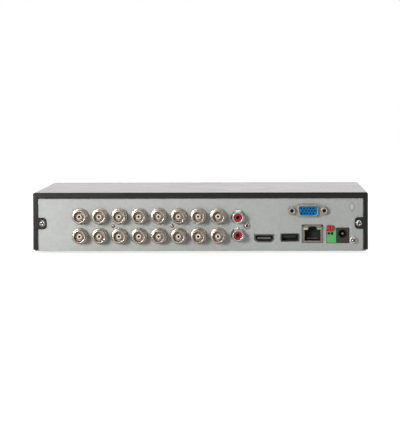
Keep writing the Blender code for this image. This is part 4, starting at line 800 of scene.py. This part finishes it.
def makeScrews(screws):
    for seed, (name, look) in enumerate(screws.items(), 11):
        radius, height, body = look["radius"], look["height"], look.get("body", "case")
        places = []
        for node in look["at"]:
            seat = middle(node)
            places.append((seat.x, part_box(node)[0].y + height * mm, seat.z))
        values = {"Turn": 0.7, "Seed": seed}
        head = makeScrewHead(radius, height, height * 0.6)
        carve(head, [rod(radius * 0.5, height * 0.3, -4.5, 20)], "UNION")
        repeat(name, head, look.get("paint", "brightScrew"), values, "screw_steel", *look["at"],
               points=places, body=body)
        # a black cross in the depth of the recess: painted shade where light hardly reaches
        arms = crossArms(radius, height * 0.78, height * 0.42, 0.585, 0.125)
        depths = carve(newObject("depths", arms[0]), arms[1:], "UNION")
        repeat(name + "Recess", depths, "shadowBlack", values, points=places, body=body)


def makeWasher(look):
    spot = middle("ground_washer")
    spot.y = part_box("ground_washer")[1].y
    hole, radius, thickness = look["hole"], look["radius"], look["thickness"]
    profile = [(hole, 0), (hole, thickness), (radius, thickness), (radius, 0)]
    build("groundWasher", turned(profile, 48, spot, [0.1] * 4, 2), "tinPlate", "screw_steel", "ground_washer",
          body="ground_clamp")


makeScrews(screwLook)
makeWasher(washerLook)
print("screws made")


# monitor socket

monitorLook = dict(
    topWidth=16.3, height=7.9, slant=math.radians(10.0), skin=0.4, corner=1.9, plate=(30.8, 10.9, 0.8),
    ear=(5.8, 6.8), earRoot=8.0, screwHole=1.7, dent=(9.6, -2.6), slotAt=3.4, slotHalf=1.7,
    slotHeights=(4.45, 5.35), flats=4.8, screwLength=4.2, pin=0.72, pinPitch=2.29, rowPitch=1.98)


def dOutline(look, centre, margin=0.0):
    topHalf, high = look["topWidth"] / 2 + margin, look["height"] / 2 + margin
    bottomHalf = topHalf - look["height"] * math.tan(look["slant"])
    corners = [(-topHalf, high), (-bottomHalf, -high), (bottomHalf, -high), (topHalf, high)]
    return outlineAt(centre, filleted(corners, look["corner"] + margin, 6))


def makeMonitorPlate(look, centre, screws, face, mouth):
    half, high, thickness = look["plate"][0] / 2, look["plate"][1] / 2, look["plate"][2]
    root = half - look["ear"][0]
    side = [(root - 2, high), (root, look["earRoot"] / 2), (half, look["ear"][1] / 2)]
    side += [(x, -z) for x, z in reversed(side)]
    outline = filleted(side + [(-x, -z) for x, z in side], [1.0, 1.0, 2.4] * 4, 5)
    cutters = [slab(dOutline(look, centre, 0.05), mouth, face, -1, 2)]
    cutters += [rod(look["screwHole"], -3, 3, 20, (spot.x, face, spot.z)) for spot in screws]
    across, up = look["dent"]
    for way in (-1, 1):
        spot = (centre.x + way * across * mm, face + 0.15 * mm, centre.z + up * mm)
        cutters.append(turned([(0, 0.5), (0.75, 0.5), (0.75, 0.1), (0, -0.2)], 16, spot))
    for way in (-1, 1):
        ends = [way * look["slotAt"] + side * look["slotHalf"] for side in (-1, 1)]
        slot = filleted(rectangle(*zip(ends, look["slotHeights"])), 0.4, 3)
        cutters.append(slab(outlineAt(centre, slot), face, face, -1, 0.5))
    plate = slab(outlineAt(centre, outline), face, face, 0, thickness)
    # the plate's tin is darker than the panel: partly its own colour, partly painted shade round the shell
    build("monitorPlate", plate, "stampedTin", "tinned_steel", cut=cutters, edges=(0.10, 2))


def makeMonitorInsert(look, centre, face):
    pitch, pin = look["pinPitch"], look["pin"]
    insert = slab(dOutline(look, centre, -look["skin"] - 0.25), face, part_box("vga_insert")[1].y)
    funnel = [(0, 1), (pin + 0.12, 1), (pin + 0.12, 0), (pin, -0.25), (pin, -3), (0, -3)]
    punches, holes = [], []
    for row in range(3):
        across = ((1 / 4 if row == 1 else -1 / 4) - 2) * pitch
        up = (1 - row) * look["rowPitch"]
        first = Vector((centre.x + across * mm, face, centre.z + up * mm))
        punch = newObject("punch", turned(funnel, 14))
        values = {"Source": punch, "Columns": 5, "Rows": 1, "Column Step": (pitch * mm, 0, 0), "First": first}
        punches.append(grow("pinPunches", gridTree, values))
        drop(punch)
        holes += [first + Vector((i * pitch * mm, 0, 0)) for i in range(5)]
    build("monitorInsert", insert, "bluePlastic", "blue_plastic", "vga_insert", cut=punches,
          edges=(0.08, 1, 50.0))
    # black plugs deep in the pin holes: painted shade where the contacts sit
    repeat("monitorContacts", rod(0.40, -1.6, -2.7, 10), "blackPlastic", {}, points=holes)


def makeJackscrews(look, places):
    radius, reach = look["flats"] / math.sqrt(3), look["screwLength"]
    angles = [math.radians(60 * i + 30) for i in range(6)]
    hexagon = outlineAt(origin, [(radius * math.cos(angle), radius * math.sin(angle)) for angle in angles])
    post = newObject("post", slab(hexagon, 0, 0, -reach, 0))
    # a cone over the hexagon breaks its outer corners, as a turned chamfer does
    chamfer = [(0, reach), (radius * 0.80, reach), (radius * 1.05, reach - 0.8), (radius * 1.05, -5), (0, -5)]
    carve(post, [turned(chamfer, 36)], "INTERSECT")
    thread = [(0, reach + 1), (1.75, reach + 1), (1.75, reach), (1.35, reach - 0.4), (1.35, 0.6), (0, 0.6)]
    carve(post, [turned(thread, 28)])
    carve(post, [rod(1.4, 0.3, -4, 20)], "UNION")
    soften(post, 0.07, 1, 40.0)
    # a black rod in each threaded hole: painted shade down the thread
    repeat("jackscrewThreads", rod(1.3, reach - 1.0, 0.7, 20), "shadowBlack", {}, points=places)
    repeat("jackscrews", post, "warmTin", {"Turn": 0.5, "Seed": 5}, "screw_steel", "vga_jackscrew_left",
           "vga_jackscrew_right", points=places)


def makeMonitorSocket(look):
    screws = middle("vga_jackscrew_left"), middle("vga_jackscrew_right")
    centre = (screws[0] + screws[1]) / 2
    face = panelFace - gap - look["plate"][2] * mm
    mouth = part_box("vga_shell")[0].y
    makeMonitorPlate(look, centre, screws, face, mouth)
    shell = slab(dOutline(look, centre), mouth, face, 0, 0.6)
    skirt = slab(dOutline(look, centre, 0.45), face, face, -0.45, -0.02)
    inside = slab(dOutline(look, centre, -look["skin"]), mouth, face, -1, 2)
    build("monitorShell", shell, "warmTin", "tinned_steel", "vga_shell", add=[skirt], cut=[inside],
          edges=(0.10, 2))
    makeMonitorInsert(look, centre, mouth + gap)
    makeJackscrews(look, [(spot.x, face - gap, spot.z) for spot in screws])


makeMonitorSocket(monitorLook)
print("monitor socket made")


# digital video socket and USB sockets

digitalLook = dict(
    footWidth=10.6, shoulder=0.36, corner=0.5, skin=0.45, tongue=1.3, contacts=10, contactPitch=0.95,
    contactIn=3.8, contactSize=(0.4, 5, 0.1))


def makeDigitalSocket(look):
    low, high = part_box("digital_shell")
    centre = (low + high) / 2
    half, foot = (high.x - low.x) / 2, look["footWidth"] * mm / 2
    step = low.z + (high.z - low.z) * look["shoulder"]
    skin, tongue = look["skin"], look["tongue"]

    def outline(inset):
        inset *= mm
        side = [(half - inset, high.z - inset), (half - inset, step + inset * 0.4),
                (foot - inset * 0.6, low.z + inset)]
        return [(centre.x + x, z) for x, z in filleted(mirrored(side), look["corner"] * mm, 3)]

    build("digitalShell", slab(outline(0), low.y, high.y), "darkTin", "tinned_steel", "digital_shell",
          cut=[slab(outline(skin), low.y, high.y, -1, -1)], edges=(0.08, 2))
    liner = slab(outline(skin + 0.05), low.y, high.y, 0.8, -1.1)
    build("digitalLiner", liner, "blackPlastic", "black_plastic", "digital_insert",
          cut=[slab(outline(skin + 0.55), low.y, high.y, -1, -4)], edges=(0.06, 1))
    sides = [centre.z + (0.1 + way * tongue / 2) * mm for way in (-1, 1)]
    ends = [(centre.x - foot, low.y, sides[0]), (centre.x + foot, high.y, sides[1])]
    build("digitalTongue", block(*ends, (0, 0.9, 0), (0, -3, 0)), "greyPlastic", edges=(0.18, 2))
    addContacts("digitalContactsUpper", look, centre.x, low.y, sides[1])
    addContacts("digitalContactsLower", look, centre.x, low.y, sides[0])


makeDigitalSocket(digitalLook)

usbLook = dict(
    skin=0.4, lip=0.8, tongue=1.9, contacts=4, contactPitch=2.2, contactIn=5.0, contactSize=(1.0, 6, 0.12))


def makeUsbSocket(look):
    low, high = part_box("rear_usb_shell")
    skin = look["skin"]
    # the lips at the two ends flare outwards beyond the opening
    lips = []
    for side, edge in ((-1, low.x), (1, high.x)):
        root, tip = edge - side * 0.5 * mm, edge + side * look["lip"] * mm
        lip = [(root, low.z + 0.4 * mm), (root, high.z - 0.4 * mm), (tip, high.z - 0.1 * mm),
               (tip, low.z + 0.1 * mm)]
        lips.append(slab(lip, low.y, low.y, 0, 0.25))
    # the shell takes tin darkened almost to black
    build("usbShell", slab(boxOutline(low, high, 0, 0.5), low.y, high.y), "nearBlackTin", "tinned_steel",
          "rear_usb_shell", add=lips, cut=[slab(boxOutline(low, high, skin, 0.3), low.y, high.y, -1, -1)],
          edges=(0.08, 2))
    top = high.z - (skin + 0.8) * mm
    under = top - look["tongue"] * mm
    tongue = block((low.x, low.y, under), (high.x, high.y, top), (1.6, 1.2, 0), (-1.6, -2, 0))
    back = slab(boxOutline(low, high, 0.5), high.y, high.y, -4, -1.2)
    build("usbInsert", back, "blackPlastic", "black_plastic", "rear_usb_insert", add=[tongue],
          edges=(0.15, 2))
    addContacts("usbContacts", look, (low.x + high.x) / 2, low.y, under)


makeUsbSocket(usbLook)
refined("front_usb", "frontUsbSocket", "tinPlate", "tinned_steel", (0.08, 2))
print("digital video and USB sockets made")


# network socket

lanLook = dict(
    cavity=(11.8, 8.2, 12.0), latch=(6.2, 1.4), key=(3.6, 2.4), floorAbove=1.9, skin=0.45, tab=0.5,
    cornerNotch=1.15, lampAt=(2.75, 2.9), lampSize=(3.5, 1.5), contacts=8, contactPitch=1.02, contactIn=9,
    contactSize=(0.42, 7.5, 0.3))


def makeLanSocket(look):
    low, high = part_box("lan_jacket")
    centre, rear = (low + high) / 2, low.y
    floor = low.z + look["floorAbove"] * mm
    width, height, depth = look["cavity"]
    skin, notch, tab = (look[key] for key in ("skin", "cornerNotch", "tab"))

    def opening(margin=0.0):
        # the plug's cavity, with the steps for its latch and its key above
        side = [(width / 2 + margin, -margin), (width / 2 + margin, height + margin)]
        (latchWidth, latchUp), (keyWidth, keyUp) = look["latch"], look["key"]
        half = latchWidth / 2 + margin
        side += [(half, height + margin), (half, height + latchUp + margin)]
        side += [(keyWidth / 2 + margin, height + keyUp + margin)]
        return outlineAt((centre.x, rear, floor), mirrored(side))

    def lampOutline(spot, inset, corner=0.0):
        acrossHalf, upHalf = (size / 2 - inset for size in look["lampSize"])
        outline = rectangle((-acrossHalf, -upHalf), (acrossHalf, upHalf))
        return outlineAt(spot, filleted(outline, corner, 3) if corner else outline)

    inwards, down = (distance * mm for distance in look["lampAt"])
    lampSpots = [(x, rear, high.z - down) for x in (low.x + inwards, high.x - inwards)]
    jacket = newObject("lanJacket", block(low, high), "darkTin")
    upperCorners = [(x, rear, high.z) for x in (low.x, high.x)]
    for corner in upperCorners:
        carve(jacket, [block(corner, corner, (-tab, 0, -2.2), (tab, 0.35, -0.2))], "UNION")
    carve(jacket, [block(low, high, (skin, skin, skin), (-skin, 1, -skin))])
    for corner in upperCorners:
        carve(jacket, [block(corner, corner, (-notch, -1, -notch), (notch, 3, notch))])
    windows = [slab(lampOutline(spot, 0), rear, rear, -1, 1) for spot in lampSpots]
    carve(jacket, [slab(opening(0.25), rear, rear, -1, 1)] + windows)
    soften(jacket, 0.10, 2)
    finishPiece(jacket, "case", ("lan_jacket",))

    inset = skin + 0.1
    body = block(low, high, (inset, skin + 0.15, inset), (-inset, -0.3, -inset))
    build("lanBody", body, "blackPlastic", "black_plastic", "lan_body",
          cut=[slab(opening(), rear, rear, -1, depth)], edges=(0.08, 1))
    for name, spot, paint in zip(("lanLampAmber", "lanLampGreen"), lampSpots, ("amberLens", "greenLens")):
        lamp = slab(lampOutline(spot, 0.06, 0.25), rear, rear, -0.05, skin + 0.35)
        build(name, lamp, paint, edges=(0.12, 2))
    addContacts("lanWires", look, centre.x, rear, floor + 1.4 * mm)


makeLanSocket(lanLook)
print("network socket made")


# wire terminal and power jack

terminalLook = dict(
    hole=0.95, holeDepth=6, holeAbove=7.3, notch=(0.9, 1.1), pocketRoom=0.25, seam=(2.0, 2.15, 0.12))


def makeTerminal(look):
    low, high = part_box("terminal_block")
    levers = [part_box("terminal_lever_1"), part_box("terminal_lever_2")]
    hole, deep, room = look["hole"], look["holeDepth"], look["pocketRoom"]
    pocketHigh = (levers[1][1].x, levers[0][1].y, high.z)
    cutters = [block((levers[0][0].x, low.y, levers[0][0].z), pocketHigh, (-room, -1, -room), (room, 1.9, 1))]
    bore = [(0, 1), (hole + 0.25, 1), (hole + 0.25, 0), (hole, -0.4), (hole, -deep), (0, -deep)]
    holeZ = low.z + look["holeAbove"] * mm
    cutters += [turned(bore, 24, ((lever[0].x + lever[1].x) / 2, low.y, holeZ)) for lever in levers]
    seamLow, seamHigh, seamDepth = look["seam"]
    cutters.append(block(low, (high.x, low.y, low.z), (-1, -1, seamLow), (1, seamDepth, seamHigh)))
    build("terminalBlock", block(low, high), "greenPlastic", "green_plastic", "terminal_block", cut=cutters,
          edges=(0.14, 2))
    across, down = look["notch"]
    for i, (low, high) in enumerate(levers):
        # each lever's inner upper corner is cut away, and its foot ends in a lobe
        inner = (high.x if i == 0 else low.x, low.y, high.z)
        foot = ((low.x + high.x) / 2, low.y, low.z)
        notch = outlineAt(inner, [(-across, 1), (across, 1), (across, -down), (0, -down)])
        bite = outlineAt(foot, [(-1.3, -0.6), (-1.3, 0.15), (-0.75, -0.02), (-0.75, -0.6)])
        groove = block(low, (high.x, low.y, low.z), (-1, -1, 2.1), (1, 0.15, 2.3))
        cutters = [slab(notch, low.y, low.y, -1, 1.6), slab(bite, low.y, low.y, -1, 1.1), groove]
        build(("leverLeft", "leverRight")[i], block(low, high), "redPlastic", "red_plastic",
              f"terminal_lever_{i + 1}", body=("lever_left", "lever_right")[i], cut=cutters, edges=(0.16, 2))


makeTerminal(terminalLook)

powerLook = dict(bore=3.2, boreDepth=9.5, step=0.5, boreShade=0.25, pin=1.0, pinHole=1.15)


def makePowerJack(look):
    low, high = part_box("power_jack")
    pinLow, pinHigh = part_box("power_pin")
    x, z = (pinLow.x + pinHigh.x) / 2, (pinLow.z + pinHigh.z) / 2
    bore, deep, mouth, pin = look["bore"], look["boreDepth"], look["bore"] + look["step"], look["pin"]
    profile = [(0, 1), (mouth, 1), (mouth, 0), (bore, -0.5), (bore, -deep), (look["pinHole"], -deep),
               (look["pinHole"], -deep - 2), (0, -deep - 2)]
    build("powerJackBody", block(low, high), "jackPlastic", "black_plastic", "power_jack",
          cut=[turned(profile, 48, (x, low.y, z))], edges=(0.22, 3))
    # a black sleeve just inside the bore wall, darker than the body: painted shade in the bore
    inner, outer = bore - look["boreShade"], bore - 0.02
    boreShade = [(inner, -0.8), (outer, -0.8), (outer, 0.1 - deep), (inner, 0.1 - deep)]
    build("powerJackLining", turned(boreShade, 48, (x, low.y, z)), "blackPlastic")
    length = (pinHigh.y - pinLow.y) / mm
    shape = turned([(0, length), (pin, length), (pin, 0), (0, 0)], 32, (x, pinHigh.y, z), [0, 0.5, 0, 0], 5)
    # the pin takes dark tin rather than bright nickel: painted shade, as it stands deep in the bore
    build("powerPin", shape, "darkTin", "nickel", "power_pin")


makePowerJack(powerLook)
print("terminal and power jack made")


# front, feet and inside

refined("front_bezel", "frontBezel", "glossPlastic", "gloss_plastic", (0.25, 3))
refined("light_pipe", "lightPipe", "clearLens", "light_pipe", (0.20, 2))

footLook = dict(radius=7.0, height=1.7, dish=0.4)


def makeFeet(look):
    r, h, dish = look["radius"], look["height"], look["dish"]
    profile = [(0, h), (r, h), (r, 0.5), (r - 0.5, 0), (r - 1.6, 0), (r - 2.0, dish), (0, dish)]
    foot = turned(profile, 48, rounding=[0, 0.2, 0.25, 0.2, 0.2, 0.2, 0])
    rotate(foot, math.radians(-90), "X")  # stands it up
    names = [f"rubber_foot_{end}_{side}" for end in ("rear", "front") for side in ("left", "right")]
    places = [(middle(name).x, middle(name).y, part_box(name)[0].z) for name in names]
    repeat("rubberFeet", foot, "rubber", {}, "rubber", *names, points=places)


makeFeet(footLook)

insideFinishes = {
    "jack_block": "blackPlastic", "vga_riser_board": "boardMask", "main_board": "boardMask",
    "heat_sink": "blackAluminium", "hard_disk": "castAluminium", "fan_frame": "blackPlastic",
    "fan_rotor": "blackPlastic", "front_board": "boardMask", "disk_lead": "redSleeve",
}
for node, paint in insideFinishes.items():
    nodes[node].data.materials.clear()
    nodes[node].data.materials.append(finish[paint])
print("front, feet and inside made")


# stage, light and camera

# lengths, places and powers from here on are in metres and watts
stageLook = dict(
    floorSize=6.0, floorTone=(0.60, 0.60, 0.60), floorGlow=(0.12, 0.80), worldTone=(0.80, 0.81, 0.82),
    worldStrength=(0.48, 0.22))
white = (1.0, 1.0, 1.0, 1.0)


def makeFloor(look):
    shape = bmesh.new()
    bmesh.ops.create_grid(shape, x_segments=8, y_segments=8, size=look["floorSize"] / 2)
    floor = newObject("studioFloor", shape)
    material = bpy.data.materials.new("paleFloor")
    material.use_nodes = True
    tree = material.node_tree
    shader = tree.nodes["Principled BSDF"]
    soft = addNoise(tree, tree.nodes.new("ShaderNodeTexCoord").outputs["Object"], 3.0, 2.0)
    tone = look["floorTone"]
    tree.links.new(addMix(tree, soft, tone, [part * 1.02 for part in tone]), shader.inputs["Base Color"])
    shader.inputs["Roughness"].default_value = 0.9
    shader.inputs["Emission Color"].default_value = white
    rays = tree.nodes.new("ShaderNodeLightPath").outputs["Is Camera Ray"]
    tree.links.new(addRange(tree, rays, 0.0, 1.0, *look["floorGlow"]), shader.inputs["Emission Strength"])
    floor.data.materials.append(material)


def makeWorld(look):
    world = bpy.data.worlds.new("studio")
    world.use_nodes = True
    tree = world.node_tree
    background = tree.nodes["Background"]
    background.inputs["Color"].default_value = (*look["worldTone"], 1.0)
    way = tree.nodes.new("ShaderNodeTexCoord").outputs["Generated"]
    along = addNode(tree, "ShaderNodeSeparateXYZ", {"Vector": way}).outputs["X"]
    tree.links.new(addRange(tree, along, -0.3, 0.8, *look["worldStrength"]), background.inputs["Strength"])
    backdrop = addNode(tree, "ShaderNodeBackground", {"Color": white, "Strength": 1.0}).outputs[0]
    rays = tree.nodes.new("ShaderNodeLightPath").outputs["Is Camera Ray"]
    choose = addNode(tree, "ShaderNodeMixShader", {0: rays, 1: background.outputs[0], 2: backdrop})
    tree.links.new(choose.outputs[0], tree.nodes["World Output"].inputs["Surface"])
    bpy.context.scene.world = world


makeFloor(stageLook)
makeWorld(stageLook)

lightLook = {
    "keyLight": dict(at=(-0.53, -1.40, 0.28), size=(0.28, 0.28), power=11.6, tone=(1.0, 0.975, 0.950)),
    "fillLight": dict(at=(1.60, -1.60, 1.10), size=(1.2, 1.2), power=7.0, tone=(0.96, 0.985, 0.985)),
    "topLight": dict(at=(0.0, 0.30, 2.20), aim=(0.0, 0.0, 0.0), size=(2.4, 2.0), power=22.0),
    "backCard": dict(at=(0.0, 3.0, 0.60), aim=(0.0, 0.0, 0.20), size=(4.0, 2.4), power=29.0,
                     tone=(1.0, 0.952, 0.946)),
}


def makeLight(name, at, size, power, aim=(0.0, -0.10, 0.02), tone=(1.0, 1.0, 1.0)):
    lamp = bpy.data.lights.new(name, "AREA")
    lamp.shape = "RECTANGLE"
    lamp.size, lamp.size_y = size
    lamp.energy = power
    lamp.color = tone
    holder = showObject(name, lamp)
    holder.location = at
    holder.rotation_euler = (Vector(aim) - Vector(at)).to_track_quat("-Z", "Y").to_euler()
    holder.visible_camera = False


for name, look in lightLook.items():
    makeLight(name, **look)

cameraLook = dict(
    at=(0.04666, -2.14184, 0.13363), turnLeft=0.0229994, lookDown=0.0507188, roll=-0.0029157, lens=220.3,
    sensor=36.0)


def makeCamera(look):
    lens = bpy.data.cameras.new("studioCamera")
    lens.lens = look["lens"]
    lens.sensor_width = look["sensor"]
    camera = showObject("studioCamera", lens)
    turn, down, roll = look["turnLeft"], look["lookDown"], look["roll"]
    ahead = Vector((-math.sin(turn) * math.cos(down), math.cos(turn) * math.cos(down), -math.sin(down)))
    right = Vector((math.cos(turn), math.sin(turn), 0.0))
    up = right.cross(ahead)
    tilted = right * math.cos(roll) + up * math.sin(roll)
    over = up * math.cos(roll) - right * math.sin(roll)
    rotation = Matrix((tilted, over, -ahead)).transposed().to_4x4()
    camera.matrix_world = Matrix.Translation(look["at"]) @ rotation
    bpy.context.scene.camera = camera


makeCamera(cameraLook)
bpy.context.scene.view_settings.view_transform = "Standard"
print("stage, lights and camera made")

bpy.context.view_layer.update()
